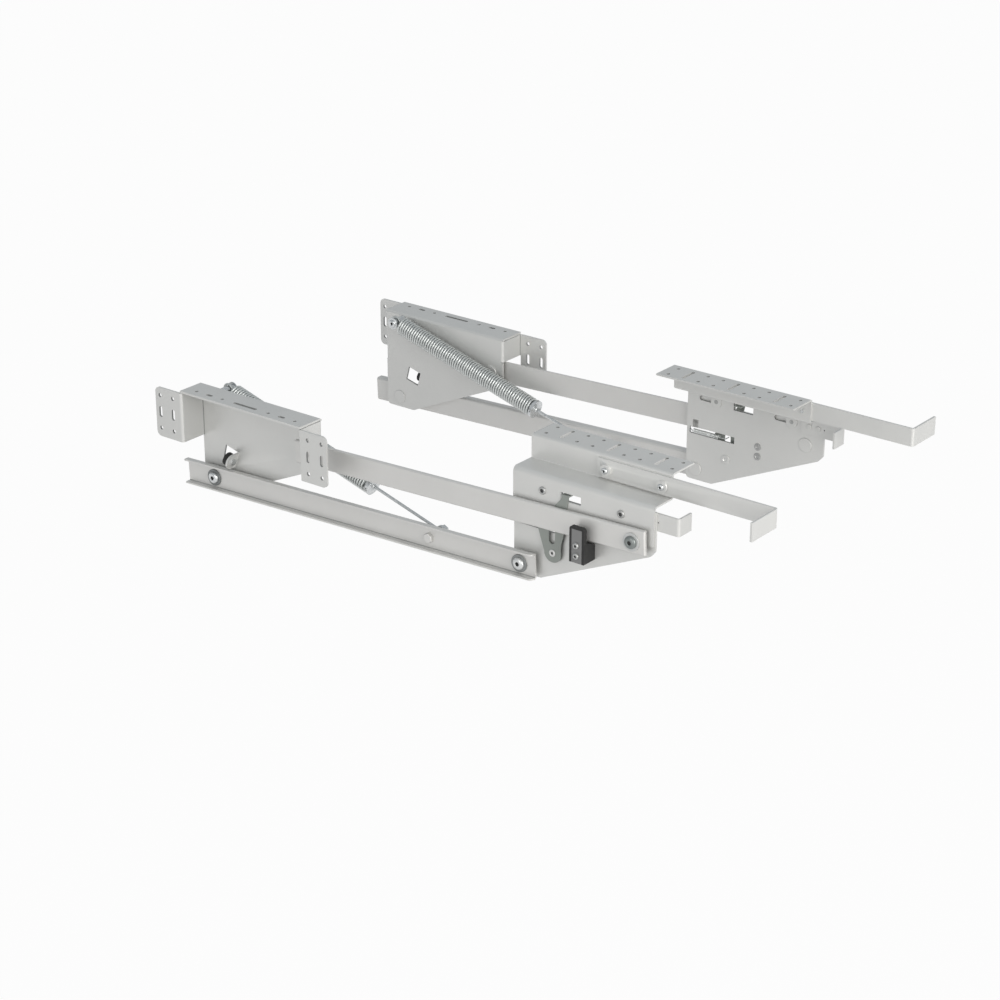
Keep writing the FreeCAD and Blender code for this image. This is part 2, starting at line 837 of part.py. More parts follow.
def put_along_arm(piece, pivot):
    """Set a piece drawn level, with its rear pivot at the origin, in the raised arm's place."""
    piece.Placement.Rotation = FreeCAD.Rotation(-AXIS["X"], d.raise_angle.value)
    bind(piece, "Placement.Rotation.Angle", d.raise_angle)
    bind(piece, "Placement.Base.y", pivot[0] + d.origin_back)
    bind(piece, "Placement.Base.z", pivot[1] + d.origin_up)
    return piece


def lower_arm():
    """Channel open to the outside; its tail behind the rear pivot meets the lowered stop."""
    body = new_body("right_lower_arm")
    high = d.arm_rise + d.lower_depth / 2
    low = d.arm_rise - d.lower_depth / 2
    under = high - d.arm_gauge
    over = low + d.arm_gauge
    edge = d.arm_face + d.lower_flange
    nose = -(d.arm_length + d.lower_nose)
    pad(body, "Y", nose, d.lower_tail, [polygon([
        (d.arm_face, low), (edge, low), (edge, over), (lower_web_outer, over),
        (lower_web_outer, under), (edge, under), (edge, high), (d.arm_face, high)])])
    pocket(body, "X", d.arm_face, lower_web_outer, [
        circle((dim(0), dim(0)), d.pin_radius + d.pin_play),
        circle((-d.arm_length, dim(0)), d.pin_radius + d.pin_play),
        circle((-d.spring_arm, dim(0)), d.bolt_radius)])
    round_edges(body, d.outer_bend, [("Y", [(d.arm_face, low), (d.arm_face, high)])])
    round_edges(body, d.inner_bend, [
        ("Y", [(lower_web_outer, over), (lower_web_outer, under)])])
    round_edges(body, d.nose_corner, [("Z", [(edge, nose)])])
    return put_along_arm(body, REAR_LOWER)


def upper_arm():
    """Flat bar with rounded outer edges, beside the lower arm's channel."""
    body = new_body("right_upper_arm")
    high = d.arm_rise + d.upper_depth / 2
    low = d.arm_rise - d.upper_depth / 2
    nose = -(d.arm_length + d.upper_nose)
    pad(body, "X", d.upper_face, upper_outer, [rectangle((nose, low), (d.upper_tail, high))])
    pocket(body, "X", d.upper_face, upper_outer, [
        circle((dim(0), dim(0)), d.pin_radius + d.pin_play),
        circle((-d.arm_length, dim(0)), d.pin_radius + d.open_pivot_play)])
    pocket(body, "X", d.upper_face, d.upper_face + d.upper_dimple_depth, [
        circle((d.upper_dimple_back - d.arm_length, dim(0)), d.row_radius)])
    round_edges(body, d.upper_edge, [
        ("Y", [(upper_outer, low), (upper_outer, high)]), ("Z", [(upper_outer, nose)])])
    return put_along_arm(body, REAR_UPPER)


# ---------------------------------------------------------------- counterbalance spring

def put_along_spring(piece):
    """Set a piece drawn along +Z from the stud in the raised spring's place."""
    piece.Placement.Rotation = FreeCAD.Rotation(AXIS["X"], 90 + spring_slope.value)
    bind(piece, "Placement.Rotation.Angle", 90 + spring_slope)
    bind(piece, "Placement.Base.x", d.spring_plane)
    bind(piece, "Placement.Base.y", STUD[0] + d.origin_back)
    bind(piece, "Placement.Base.z", STUD[1] + d.origin_up)
    return piece


def spring_coil():
    """Close-wound extension spring with an eye round the stud."""
    mean = d.coil_radius - d.wire_radius
    start = d.coil_start + d.wire_radius
    length = d.coil_end - d.wire_radius - start
    helix = doc.addObject("Part::Helix", "coil_line")
    bind(helix, "Radius", mean)
    bind(helix, "Height", length)
    bind(helix, "Pitch", length / d.coil_turns)
    bind(helix, "Placement.Base.z", start)
    wire = doc.addObject("Part::Circle", "coil_wire")
    wire.Placement.Rotation = FreeCAD.Rotation(AXIS["X"], 90)
    bind(wire, "Radius", d.wire_radius)
    bind(wire, "Placement.Base.x", mean)
    bind(wire, "Placement.Base.z", start)
    coil = doc.addObject("Part::Sweep", "coil_turns")
    coil.Sections = [wire]
    coil.Spine = (helix, ["Edge1"])
    coil.Solid = True
    coil.Frenet = True
    eye = doc.addObject("Part::Torus", "coil_eye")
    eye.Placement.Rotation = FreeCAD.Rotation(AXIS["Y"], 90)
    eye_radius = d.stud_radius + d.wire_radius + d.eye_gap
    bind(eye, "Radius1", eye_radius)
    bind(eye, "Radius2", d.wire_radius)
    leg = cylinder("coil_leg", "Z", eye_radius, start, (dim(0), dim(0)), d.wire_radius)
    link = cylinder("coil_link", "X", -d.wire_radius * 0.8, mean, (dim(0), start), d.wire_radius)
    return put_along_spring(fuse("coil", coil, eye, leg, link))


def spring_plug():
    """Threaded plug that closes the coil's free end, with a neck towards the rod."""
    centre = (dim(0), dim(0))
    face = d.coil_end + d.plug_seat
    shoulder = face + d.plug_head
    stem = cylinder("plug_stem", "Z", d.coil_end - d.plug_stem, face, centre,
                    d.coil_radius - d.wire_radius * 2 - d.plug_seat)
    head = cylinder("plug_head", "Z", face, shoulder, centre, d.coil_radius)
    neck = cylinder("plug_neck", "Z", shoulder, shoulder + d.plug_neck, centre,
                    d.rod_radius + 1.5)
    hole = cylinder("plug_hole", "X", -(d.coil_radius + 1), d.coil_radius + 1,
                    (dim(0), face + d.plug_head / 2), d.wire_radius * 0.6)
    return put_along_spring(cut("plug", fuse("plug_solid", stem, head, neck), hole))


def spring_rod():
    """Thin rod from just past the plug to an eye on the lower arm's bolt."""
    start = d.coil_end + d.plug_seat + d.plug_head + d.plug_neck + d.rod_gap
    rod = cylinder("rod_bar", "Z", start, spring_span - d.bolt_radius - 2,
                   (dim(0), dim(0)), d.rod_radius)
    eye = cylinder("rod_eye", "X", -(d.eye_gauge / 2), d.eye_gauge / 2,
                   (dim(0), spring_span), d.eye_radius)
    hole = cylinder("rod_hole", "X", -d.eye_gauge, d.eye_gauge, (dim(0), spring_span),
                    d.bolt_radius + d.pin_play * 2)
    return put_along_spring(cut("rod", fuse("rod_solid", rod, eye), hole))


def spring_stud():
    """Sleeve riveted in the bracket that carries the coil's eye."""
    inner = d.spring_plane - d.stud_reach
    sleeve = cylinder("stud_sleeve", "X", inner, d.plate_face, STUD, d.stud_radius)
    spigot = cylinder("stud_spigot", "X", d.plate_face, plate_outer, STUD, d.bolt_radius)
    bore = cylinder("stud_bore", "X", inner - 1, inner + 12, STUD, d.thread_radius)
    return cut("stud", fuse("stud_solid", sleeve, spigot), bore)


def spring_stud_screw():
    """Washer-head screw that keeps the coil's eye on the stud."""
    seat = d.spring_plane - d.stud_reach
    return dome_screw("stud_screw", seat, STUD, d.stud_radius + 3, d.button_height * 0.8,
                      seat + 11, d.thread_radius - 0.05, -1)


def spring_bolt():
    """Bolt through the lower arm with a collar that keeps the rod's eye on its line."""
    centre = (-d.spring_arm, dim(0))
    eye_outer = d.spring_plane + d.eye_gauge / 2 + d.side_play
    inner = d.spring_plane - d.stud_reach
    head = turned_hexagon("bolt_head", lower_web_outer, lower_web_outer + 4.5, centre,
                          d.bolt_radius * 1.9)
    shank = cylinder("bolt_shank", "X", inner, lower_web_outer, centre, d.bolt_radius)
    collar = cylinder("bolt_collar", "X", eye_outer, d.arm_face, centre, d.bolt_radius + 2.5)
    return put_along_arm(fuse("bolt", head, shank, collar), REAR_LOWER)


def spring_nut():
    """Nut on the inner end of the spring bolt."""
    centre = (-d.spring_arm, dim(0))
    eye_inner = d.spring_plane - d.eye_gauge / 2 - d.side_play
    block = turned_hexagon("nut_block", eye_inner - 5, eye_inner, centre, d.bolt_radius * 1.9)
    hole = cylinder("nut_hole", "X", eye_inner - 6, eye_inner + 1, centre, d.bolt_radius)
    return put_along_arm(cut("nut", block, hole), REAR_LOWER)


# ---------------------------------------------------------------- carriage plate

def carriage_outline(points):
    """A polygon given as back and rise pairs."""
    return polygon([carriage(back, rise) for back, rise in points])


def carriage_plate():
    """Flat upright plate that carries the pivots, the latch and the stop block."""
    body = new_body("carriage_sheet")
    rear = -d.carriage_back
    front = d.carriage_front
    top = d.step_rise - d.step_bend - d.plate_gap
    pad(body, "X", d.carriage_face, carriage_outer, [carriage_outline([
        (rear, top), (rear, -d.carriage_low), (d.carriage_foot, -d.carriage_low),
        (d.chin_back, d.carriage_chin), (front, d.carriage_nose), (front, top)])])
    pocket(body, "X", d.carriage_face, carriage_outer, [
        circle(FRONT_LOWER, d.pin_radius + d.pin_play),
        circle(FRONT_UPPER, d.pin_radius + d.pin_play),
        circle(carriage(d.latch_back, d.latch_rise), d.bolt_radius + d.pin_play),
        *block_screw_holes(), *rivet_holes(),
        *[slot(carriage(d.plate_slot_back + d.clamp_pitch * index, d.clamp_rise),
               d.plate_slot_half, d.plate_slot_radius, 0) for index in range(2)]])
    pocket(body, "X", d.carriage_face, carriage_outer, [latch_window()])
    pocket(body, "X", d.carriage_face, carriage_outer, [carriage_outline([
        (-d.return_slot_rear, d.return_slot_low), (d.return_slot_front, d.return_slot_low),
        (d.return_slot_front, d.return_slot_top), (d.return_notch_front, d.return_slot_top),
        (d.return_notch_front, d.return_notch_top), (-d.return_notch_rear, d.return_notch_top),
        (-d.return_notch_rear, d.return_slot_top), (-d.return_slot_rear, d.return_slot_top)])])
    round_edges(body, d.plate_corner, [("X", [
        carriage(rear, -d.carriage_low), carriage(d.carriage_foot, -d.carriage_low),
        carriage(d.chin_back, d.carriage_chin), carriage(front, d.carriage_nose)])])
    return body


def clamp_place(index):
    """Where a clamp screw holds the shelf angle's leg on the carriage plate."""
    return carriage(d.clamp_back + d.clamp_pitch * index, d.clamp_rise)


def block_screw_holes():
    """Circles for the two screws of the stop block."""
    return [circle(carriage(d.block_screw_back, d.block_screw_low + d.block_screw_pitch * index),
                   d.thread_radius) for index in range(2)]


def rivet_holes():
    """Circles for the rivets of the short hook."""
    middle = (d.short_hook_low + d.short_hook_top) / 2
    return [circle(carriage(back, middle), d.rivet_radius) for back in short_rivet_places()]


def latch_window():
    """Window that the latch lever's tab reaches through."""
    return carriage_outline([
        (d.latch_window_back, d.latch_window_low), (d.latch_window_front, d.latch_window_low),
        (d.latch_window_front, d.latch_window_top), (d.latch_window_back, d.latch_window_top)])


# ---------------------------------------------------------------- shelf angle and hooks

def shelf_angle():
    """Cranked angle: leg outside the carriage plate, step, riser and drilled flange."""
    body = new_body("shelf_angle_sheet")
    top = front_z + d.shelf_rise
    step_top = front_z + d.step_rise
    step_low = step_top - d.angle_gauge
    low = front_z + d.leg_low
    under = top - d.angle_gauge
    riser = d.shelf_outer - d.angle_gauge
    pad(body, "Y", front_y - d.angle_front, front_y + d.carriage_back, [polygon([
        (carriage_outer, low), (leg_outer, low), (leg_outer, step_top),
        (d.shelf_outer, step_top), (d.shelf_outer, top), (d.shelf_inner, top),
        (d.shelf_inner, under), (riser, under), (riser, step_low),
        (carriage_outer, step_low)])])
    pocket(body, "Z", under, top, flange_holes())
    pocket(body, "X", carriage_outer, leg_outer, [
        circle(clamp_place(index), d.clamp_radius) for index in range(2)] + [latch_window()])
    pocket(body, "X", carriage_outer, leg_outer, [
        circle(FRONT_UPPER, d.spacer_radius + d.collar_room)])
    pocket(body, "X", riser, d.shelf_outer, [
        circle(carriage(d.hook_screw_back + d.hook_screw_pitch * index, d.hook_screw_rise),
               d.thread_radius) for index in range(2)])
    round_edges(body, d.step_bend, [("Y", [(leg_outer, step_top)])])
    round_edges(body, d.step_bend - d.angle_gauge, [("Y", [(carriage_outer, step_low)])])
    round_edges(body, d.inner_bend + d.angle_gauge, [
        ("Y", [(d.shelf_outer, top), (riser, step_low)])])
    round_edges(body, d.inner_bend, [("Y", [(riser, under), (d.shelf_outer, step_top)])])
    return body


def flange_holes():
    """Nine columns across the flange: pairs of holes, with a cross slot as every third."""
    loops = []
    outer_row = d.inner_row + d.hole_pitch
    half = d.hole_pitch / 2
    for column in range(9):
        y = front_y - d.hole_pitch * column + d.first_column
        if column % 3 == 1:
            loops.append(slot((d.inner_row + half, y), half, d.row_radius, 0))
        else:
            loops.append(circle((d.inner_row, y), d.row_radius))
            loops.append(circle((outer_row, y), d.row_radius))
    return loops


def short_rivet_places():
    """How far forward the two rivets of the short hook are."""
    return (d.short_hook_back + d.short_rivet_inset, d.chin_back)


def long_hook():
    """Flat bar on two bosses beside the riser; its front tip is turned outward."""
    body = new_body("long_hook_bar")
    low = front_z + d.hook_low
    high = front_z + d.hook_top
    rear = front_y - d.hook_rear
    tip = front_y - d.long_hook_front
    outer = d.shelf_outer + d.hook_gauge
    pad(body, "Z", low, high, [polygon([
        (d.shelf_outer, rear), (outer, rear), (outer, tip + d.hook_gauge),
        (d.long_hook_tip, tip + d.hook_gauge), (d.long_hook_tip, tip), (d.shelf_outer, tip)])])
    pocket(body, "X", d.shelf_outer, outer, hook_holes())
    round_edges(body, d.outer_bend, [("Z", [(d.shelf_outer, tip)])])
    round_edges(body, d.inner_bend, [("Z", [(outer, tip + d.hook_gauge)])])
    round_edges(body, d.hook_corner, [
        ("Y", [(d.long_hook_tip, low), (d.long_hook_tip, high)]),
        ("X", [(rear, low), (rear, high)])])
    bosses = []
    for index, (back, rise) in enumerate(hook_screw_places()):
        place = carriage(back, rise)
        disc = cylinder(f"hook_boss_{index}", "X", outer, outer + d.boss_height, place,
                        d.boss_radius)
        bosses.append(cut(f"hook_boss_{index}", disc, cylinder(
            f"hook_boss_hole_{index}", "X", outer - 1, outer + d.boss_height + 1, place,
            d.thread_radius)))
    return fuse("long_hook_shape", body, *bosses)


def hook_screw_places():
    """Back and rise of the long hook's screws."""
    return [(d.hook_screw_back + d.hook_screw_pitch * index, d.hook_screw_rise)
            for index in range(2)]


def hook_holes():
    """Circles for the long hook's screws."""
    return [circle(carriage(back, rise), d.thread_radius) for back, rise in hook_screw_places()]


def hook_screws():
    """Two screws that hold the long hook on the riser."""
    seat = d.shelf_outer + d.hook_gauge + d.boss_height
    end = d.shelf_outer - d.angle_gauge - 2
    return [dome_screw(f"hook_screw_{index}", seat, carriage(back, rise), d.small_head_radius,
                       d.small_head_height, end, d.thread_radius)
            for index, (back, rise) in enumerate(hook_screw_places())]


def short_hook():
    """Flat bar riveted inside the carriage plate; its front tip is turned inward."""
    body = new_body("short_hook_bar")
    outer = d.carriage_face
    inner = outer - d.hook_gauge
    low = front_z + d.short_hook_low
    high = front_z + d.short_hook_top
    rear = front_y - d.short_hook_back
    tip = front_y - d.short_hook_front
    middle = (d.short_hook_low + d.short_hook_top) / 2
    pad(body, "Z", low, high, [polygon([
        (outer, rear), (inner, rear), (inner, tip + d.hook_gauge),
        (d.short_hook_tip, tip + d.hook_gauge), (d.short_hook_tip, tip), (outer, tip)])])
    pocket(body, "X", inner, outer, [
        *rivet_holes(), circle(carriage(d.short_hole_back, middle), d.rivet_radius / 2)])
    round_edges(body, d.outer_bend, [("Z", [(outer, tip)])])
    round_edges(body, d.inner_bend, [("Z", [(inner, tip + d.hook_gauge)])])
    return body


def short_hook_rivets():
    """Rivets of the short hook, flush with the carriage plate's outer face."""
    rivets = []
    middle = (d.short_hook_low + d.short_hook_top) / 2
    inner = d.carriage_face - d.hook_gauge
    for index, back in enumerate(short_rivet_places()):
        place = carriage(back, middle)
        head = cylinder(f"short_rivet_{index}_head", "X", inner - d.rivet_head_height, inner,
                        place, d.rivet_head_radius)
        shank = cylinder(f"short_rivet_{index}_shank", "X", inner, carriage_outer, place,
                         d.rivet_radius)
        rivets.append(fuse(f"short_rivet_{index}", head, shank))
    return rivets


def clamp_screws():
    """Low-headed screws that clamp the shelf angle's leg on the carriage plate."""
    end = d.carriage_face - d.clamp_nut_height
    return [dome_screw(f"clamp_screw_{index}", leg_outer, clamp_place(index),
                       d.clamp_head_radius, d.clamp_head_height, end, d.clamp_radius)
            for index in range(2)]


def clamp_nuts():
    """Thin round nuts on the carriage plate's inner face, one for each clamp screw."""
    nuts = []
    inner = d.carriage_face - d.clamp_nut_height
    for index in range(2):
        place = clamp_place(index)
        disc = cylinder(f"clamp_nut_disc_{index}", "X", inner, d.carriage_face, place,
                        d.clamp_nut_radius)
        hole = cylinder(f"clamp_nut_hole_{index}", "X", inner - 1, d.carriage_face + 1, place,
                        d.clamp_radius)
        nuts.append(cut(f"clamp_nut_{index}", disc, hole))
    return nuts


# ---------------------------------------------------------------- latch and raised stop

def latch_lever():
    """Sprung lever whose tab locks the shelf angle through the window."""
    body = new_body("latch_sheet")
    inner = leg_outer + d.latch_play
    outer = inner + d.latch_gauge
    foot = d.latch_foot
    back = d.latch_back
    rise = d.latch_rise
    pad(body, "X", inner, outer, [carriage_outline([
        (back - foot, rise - foot), (back + foot, rise - foot),
        (back + foot, rise + foot), (d.latch_hip_back, d.latch_hip_rise),
        (d.latch_neck_front, d.latch_neck_rise), (d.latch_tab_front, d.latch_tab_top),
        (d.latch_tab_back, d.latch_tab_top), (d.latch_tab_back, d.latch_tab_low),
        (d.latch_neck_back, d.latch_neck_rise), (d.latch_waist_back, d.latch_waist_rise),
        (d.latch_heel_back, d.latch_hip_rise), (back - foot, rise)])])
    tab_under = d.latch_tab_top - d.latch_tab_gauge
    pad(body, "X", d.carriage_face - d.latch_tab_reach, outer, [carriage_outline([
        (d.latch_tab_back, tab_under), (d.latch_tab_front, tab_under),
        (d.latch_tab_front, d.latch_tab_top), (d.latch_tab_back, d.latch_tab_top)])])
    pocket(body, "X", inner, outer, [
        circle(carriage(back, rise), d.bolt_radius + d.pin_play),
        slot(carriage(d.lever_slot_back, d.lever_slot_rise), d.lever_slot_half,
             d.lever_slot_radius, 1)])
    round_edges(body, foot - d.latch_play, [("X", [
        carriage(back - foot, rise - foot), carriage(back + foot, rise - foot)])])
    return body


def latch_pivot():
    """Rivet the latch lever turns on, with a collar that spaces the lever off the plate."""
    place = carriage(d.latch_back, d.latch_rise)
    lever_inner = leg_outer + d.latch_play
    seat = lever_inner + d.latch_gauge + d.latch_play / 2
    inside = cylinder("latch_rivet_inside", "X", d.carriage_face - d.pin_head_height,
                      d.carriage_face, place, d.spacer_radius * 0.75)
    shank = cylinder("latch_rivet_shank", "X", d.carriage_face, seat, place, d.bolt_radius)
    collar = cylinder("latch_rivet_collar", "X", carriage_outer, leg_outer, place,
                      d.spacer_radius * 0.75)
    outside = cylinder("latch_rivet_outside", "X", seat, seat + d.latch_head_height, place,
                       d.latch_head_radius)
    return fuse("latch_rivet", inside, shank, collar, outside)


def latch_spring():
    """Small extension spring that pulls the lever back to its latched place."""
    rear, rise = carriage(-d.latch_spring_rear, d.latch_spring_rise)
    hook_rear = front_y + d.latch_hook_rear
    hook_front = front_y - d.latch_hook_front
    x = d.latch_spring_plane
    mean = d.latch_spring_radius - d.latch_wire_radius
    helix = doc.addObject("Part::Helix", "latch_coil_line")
    helix.Placement.Rotation = FreeCAD.Rotation(AXIS["X"], 90)
    bind(helix, "Radius", mean)
    bind(helix, "Height", d.latch_spring_length)
    bind(helix, "Pitch", d.latch_spring_length / d.latch_spring_turns)
    wire = doc.addObject("Part::Circle", "latch_coil_wire")
    bind(wire, "Radius", d.latch_wire_radius)
    for piece, side in ((helix, x), (wire, x + mean)):
        for letter, place in zip("xyz", (side, rear, rise)):
            bind(piece, f"Placement.Base.{letter}", place)
    coil = doc.addObject("Part::Sweep", "latch_coil")
    coil.Sections = [wire]
    coil.Spine = (helix, ["Edge1"])
    coil.Solid = True
    coil.Frenet = True
    core = cylinder("latch_spring_core", "Y", hook_front, hook_rear, (x, rise),
                    d.latch_hook_radius)
    front_end = cylinder("latch_spring_front", "X", x, leg_outer + d.latch_gauge,
                         (hook_front, rise), d.latch_hook_radius)
    rear_end = cylinder("latch_spring_rear", "X", x, x + d.latch_hook_reach,
                        (hook_rear, rise), d.latch_hook_radius)
    return fuse("latch_spring_shape", coil, core, front_end, rear_end)


def stop_block():
    """Plastic block: the raised upper arm rests on its slanted floor, inside its lip."""
    body = new_body("block_body")
    low = front_z + d.block_low
    top = front_z + d.block_top
    lip_inner = d.block_outer - d.lip_gauge
    pad(body, "Y", front_y - d.block_front, front_y - d.block_back, [polygon([
        (carriage_outer, low), (d.block_outer, low), (d.block_outer, top), (lip_inner, top),
        (lip_inner, front_z + d.floor_outer), (carriage_outer, front_z + d.floor_inner)])])
    pocket(body, "X", d.block_outer - d.cover_gauge, d.block_outer, [cover_outline(dim(0))])
    pocket(body, "X", carriage_outer, d.block_outer, block_screw_holes())
    round_edges(body, d.block_corner, [("X", [
        carriage(d.block_back, d.block_top), carriage(d.block_front, d.block_top)])])
    return body


def cover_outline(gap):
    """Outline of the cover plate, held inside the block's rim by gap."""
    rim = d.block_rim + gap
    return carriage_outline([
        (d.block_back + rim, d.block_low + gap), (d.block_front - rim, d.block_low + gap),
        (d.block_front - rim, d.block_top - rim), (d.block_back + rim, d.block_top - rim)])


def stop_cover():
    """Steel plate set in the outer face of the stop block."""
    body = new_body("cover_body")
    inner = d.block_outer - d.cover_gauge
    pad(body, "X", inner, d.block_outer, [cover_outline(dim(0.05))])
    pocket(body, "X", inner, d.block_outer, block_screw_holes())
    return body


def block_screws():
    """Two screws through cover, block and carriage plate, each with a riveted inner end."""
    inner = d.carriage_face - d.pin_head_height
    screws = []
    for index in range(2):
        place = carriage(d.block_screw_back, d.block_screw_low + d.block_screw_pitch * index)
        screw = dome_screw(f"block_screw_{index}", d.block_outer, place, d.small_head_radius,
                           d.small_head_height, inner, d.thread_radius)
        ring = cylinder(f"block_screw_ring_{index}", "X", inner, d.carriage_face, place,
                        d.block_nut_radius)
        screws.append(fuse(f"block_screw_whole_{index}", screw, ring))
    return screws


# ---------------------------------------------------------------- nodes

def shift_to_origin(piece):
    """Move a finished piece so that the record's origin is below the middle of the pair."""
    bind(piece, "Placement.Base.y", d.origin_back)
    bind(piece, "Placement.Base.z", d.origin_up)
    return piece


def one_side():
    """Right-hand nodes that are in place already, and right-hand nodes still to be shifted."""
    placed = {
        "lower_arm": lower_arm(),
        "upper_arm": upper_arm(),
        "spring_bolt": spring_bolt(),
        "spring_bolt_nut": spring_nut(),
        "spring_coil": spring_coil(),
        "spring_plug": spring_plug(),
        "spring_rod": spring_rod(),
    }
    loose = {
        "wall_bracket": wall_bracket(),
        "carriage_plate": carriage_plate(),
        "carriage_pivot_pins": compound("carriage_pins", carriage_pins()),
        "carriage_pivot_washers": compound("carriage_washers", carriage_washers()),
        "carriage_pivot_screws": compound("carriage_screws", carriage_screws()),
        "stop_block": stop_block(),
        "stop_cover": stop_cover(),
        "stop_block_screws": compound("block_screws", block_screws()),
        "latch_lever": latch_lever(),
        "latch_pivot": latch_pivot(),
        "latch_spring": latch_spring(),
        "shelf_angle": shelf_angle(),
        "clamp_screws": compound("clamp_screws", clamp_screws()),
        "clamp_nuts": compound("clamp_nuts", clamp_nuts()),
        "long_hook": long_hook(),
        "hook_screws": compound("hook_screws", hook_screws()),
        "short_hook": short_hook(),
        "short_hook_rivets": compound("short_rivets", short_hook_rivets()),
    }
    for piece in loose.values():
        shift_to_origin(piece)
    return {**placed, **loose}


def shared_nodes():
    """Fixed small pieces of both sides, one node for each kind."""
    kinds = {
        "bracket_pivot_pins": bracket_pins(),
        "bracket_lower_washers": [pivot_washer("bracket_lower_washer", REAR_LOWER,
                                               lower_web_outer)],
        "bracket_lower_screws": [pivot_screw("bracket_lower_screw", REAR_LOWER, d.plate_face,
                                             lower_web_outer)],
        "bracket_upper_screws": [rear_upper_screw()],
        "spring_studs": [spring_stud()],
        "spring_stud_screws": [spring_stud_screw()],
        "stop_pads": [stop_pad()],
        "stop_pad_screws": [stop_pad_screw()],
    }
    nodes = {}
    for name, pieces in kinds.items():
        twins = [mirrored(f"{piece.Name}_left", piece) for piece in pieces]
        nodes[name] = shift_to_origin(compound(f"{name}_pair", pieces + twins))
    return nodes


def build():
    """Build every node and return them by name."""
    nodes = shared_nodes()
    for name, piece in one_side().items():
        nodes[f"right_{name}"] = piece
        nodes[f"left_{name}"] = mirrored(f"left_{name}_mirror", piece)
    doc.recompute()
    return nodes


def check_and_export(nodes):
    """Stop on any broken feature, then write one STEP file for each node."""
    for item in doc.Objects:
        if any(word in item.State for word in ("Invalid", "Error")):
            raise RuntimeError(f"{item.Name}: {item.State}")
    os.makedirs("parts", exist_ok=True)
    for name, piece in nodes.items():
        if piece.Shape.isNull() or not piece.Shape.isValid() or not piece.Shape.Solids:
            raise RuntimeError(f"{name}: no valid solid")
        piece.Label = name
        piece.Shape.exportStep(f"parts/{name}.step")
    box = Part.makeCompound([piece.Shape for piece in nodes.values()]).BoundBox
    print(f"{len(nodes)} nodes; X {box.XMin:.2f} {box.XMax:.2f}, "
          f"Y {box.YMin:.2f} {box.YMax:.2f}, Z {box.ZMin:.2f} {box.ZMax:.2f}")


check_and_export(build())
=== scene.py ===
"""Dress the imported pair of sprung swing-arm shelf fittings for rendering.

Sheet steel parts get eased edges, and springs, screws, pads and stop blocks are modelled
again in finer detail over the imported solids.  All lengths are in metres, in the row's frame.
"""

import logging
import math
from dataclasses import dataclass
from enum import Enum

import bmesh
import bpy
from mathutils import Matrix, Vector


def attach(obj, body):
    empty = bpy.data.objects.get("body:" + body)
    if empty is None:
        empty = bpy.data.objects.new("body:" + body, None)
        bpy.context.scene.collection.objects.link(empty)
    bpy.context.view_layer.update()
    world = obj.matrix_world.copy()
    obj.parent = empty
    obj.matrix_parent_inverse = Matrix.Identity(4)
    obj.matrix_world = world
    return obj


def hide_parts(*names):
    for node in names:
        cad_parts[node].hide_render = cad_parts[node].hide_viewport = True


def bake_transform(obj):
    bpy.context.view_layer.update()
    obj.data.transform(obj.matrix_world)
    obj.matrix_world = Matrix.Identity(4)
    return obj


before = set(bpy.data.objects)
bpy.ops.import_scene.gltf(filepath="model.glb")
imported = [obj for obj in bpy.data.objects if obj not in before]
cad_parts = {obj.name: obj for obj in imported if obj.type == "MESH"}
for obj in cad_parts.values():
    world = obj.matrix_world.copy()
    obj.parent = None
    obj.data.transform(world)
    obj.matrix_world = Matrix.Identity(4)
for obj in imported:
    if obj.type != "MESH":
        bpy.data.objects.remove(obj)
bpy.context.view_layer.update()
log = logging.getLogger("swing_arm_pair")

MM = 0.001
ORIGIN_BACK = 424.31
ORIGIN_UP = 19.26
ARM = 557.0
TILT = math.radians(2.08)
FRONT_LOWER = (-ARM * math.cos(TILT), ARM * math.sin(TILT))
REAR_UPPER = (-181.3, 81.6)
FRONT_UPPER = (FRONT_LOWER[0] + REAR_UPPER[0], FRONT_LOWER[1] + REAR_UPPER[1])
STUD = (-9.7, 129.8)

SMOOTH_ANGLE = 35.0
SHARP_ANGLE = math.radians(40.0)
LEVEL_ANGLE = math.radians(0.6)
INNER_BEND = -0.02
EASE_FINE = 0.0003
EASE_SMALL = 0.0004
EASE_SHEET = 0.00045
EASE_PIN = 0.0008


class Side(Enum):
    """The two mirrored units; the value is the sign of X."""

    LEFT = -1
    RIGHT = 1

    @property
    def word(self) -> str:
        """The side's name as nodes and bodies spell it."""
        return self.name.lower()

    def point(self, x: float, y: float, z: float) -> Vector:
        """Turn millimetres from the rear lower pivot into the row's metres.

        Args:
            x: distance outward from the middle plane.
            y: distance along Y from the pivot.
            z: height above the pivot.

        Returns:
            The point in metres.
        """
        return Vector((x * self.value, y + ORIGIN_BACK, z + ORIGIN_UP)) * MM


# ------------------------------------------------------------------ shader expressions


class Field:
    """A shader value that Python's operators can work on."""

    def __init__(self, shop: "NodeShop", socket: bpy.types.NodeSocket) -> None:
        """Wrap one output socket."""
        self.shop = shop
        self.socket = socket

    def _math(self, operation: str, one: object, other: object) -> "Field":
        """Add one Math node for an operation on two values."""
        return self.shop.add("ShaderNodeMath", {"operation": operation}, {0: one, 1: other})

    def __add__(self, other: object) -> "Field":
        """Sum."""
        return self._math("ADD", self, other)

    __radd__ = __add__

    def __sub__(self, other: object) -> "Field":
        """Difference."""
        return self._math("SUBTRACT", self, other)

    def __rsub__(self, other: object) -> "Field":
        """Difference, the other way round."""
        return self._math("SUBTRACT", other, self)

    def __mul__(self, other: object) -> "Field":
        """Product."""
        return self._math("MULTIPLY", self, other)

    __rmul__ = __mul__

    def clipped(self) -> "Field":
        """The value held between 0 and 1."""
        return self.shop.add("ShaderNodeClamp", {}, {"Value": self})


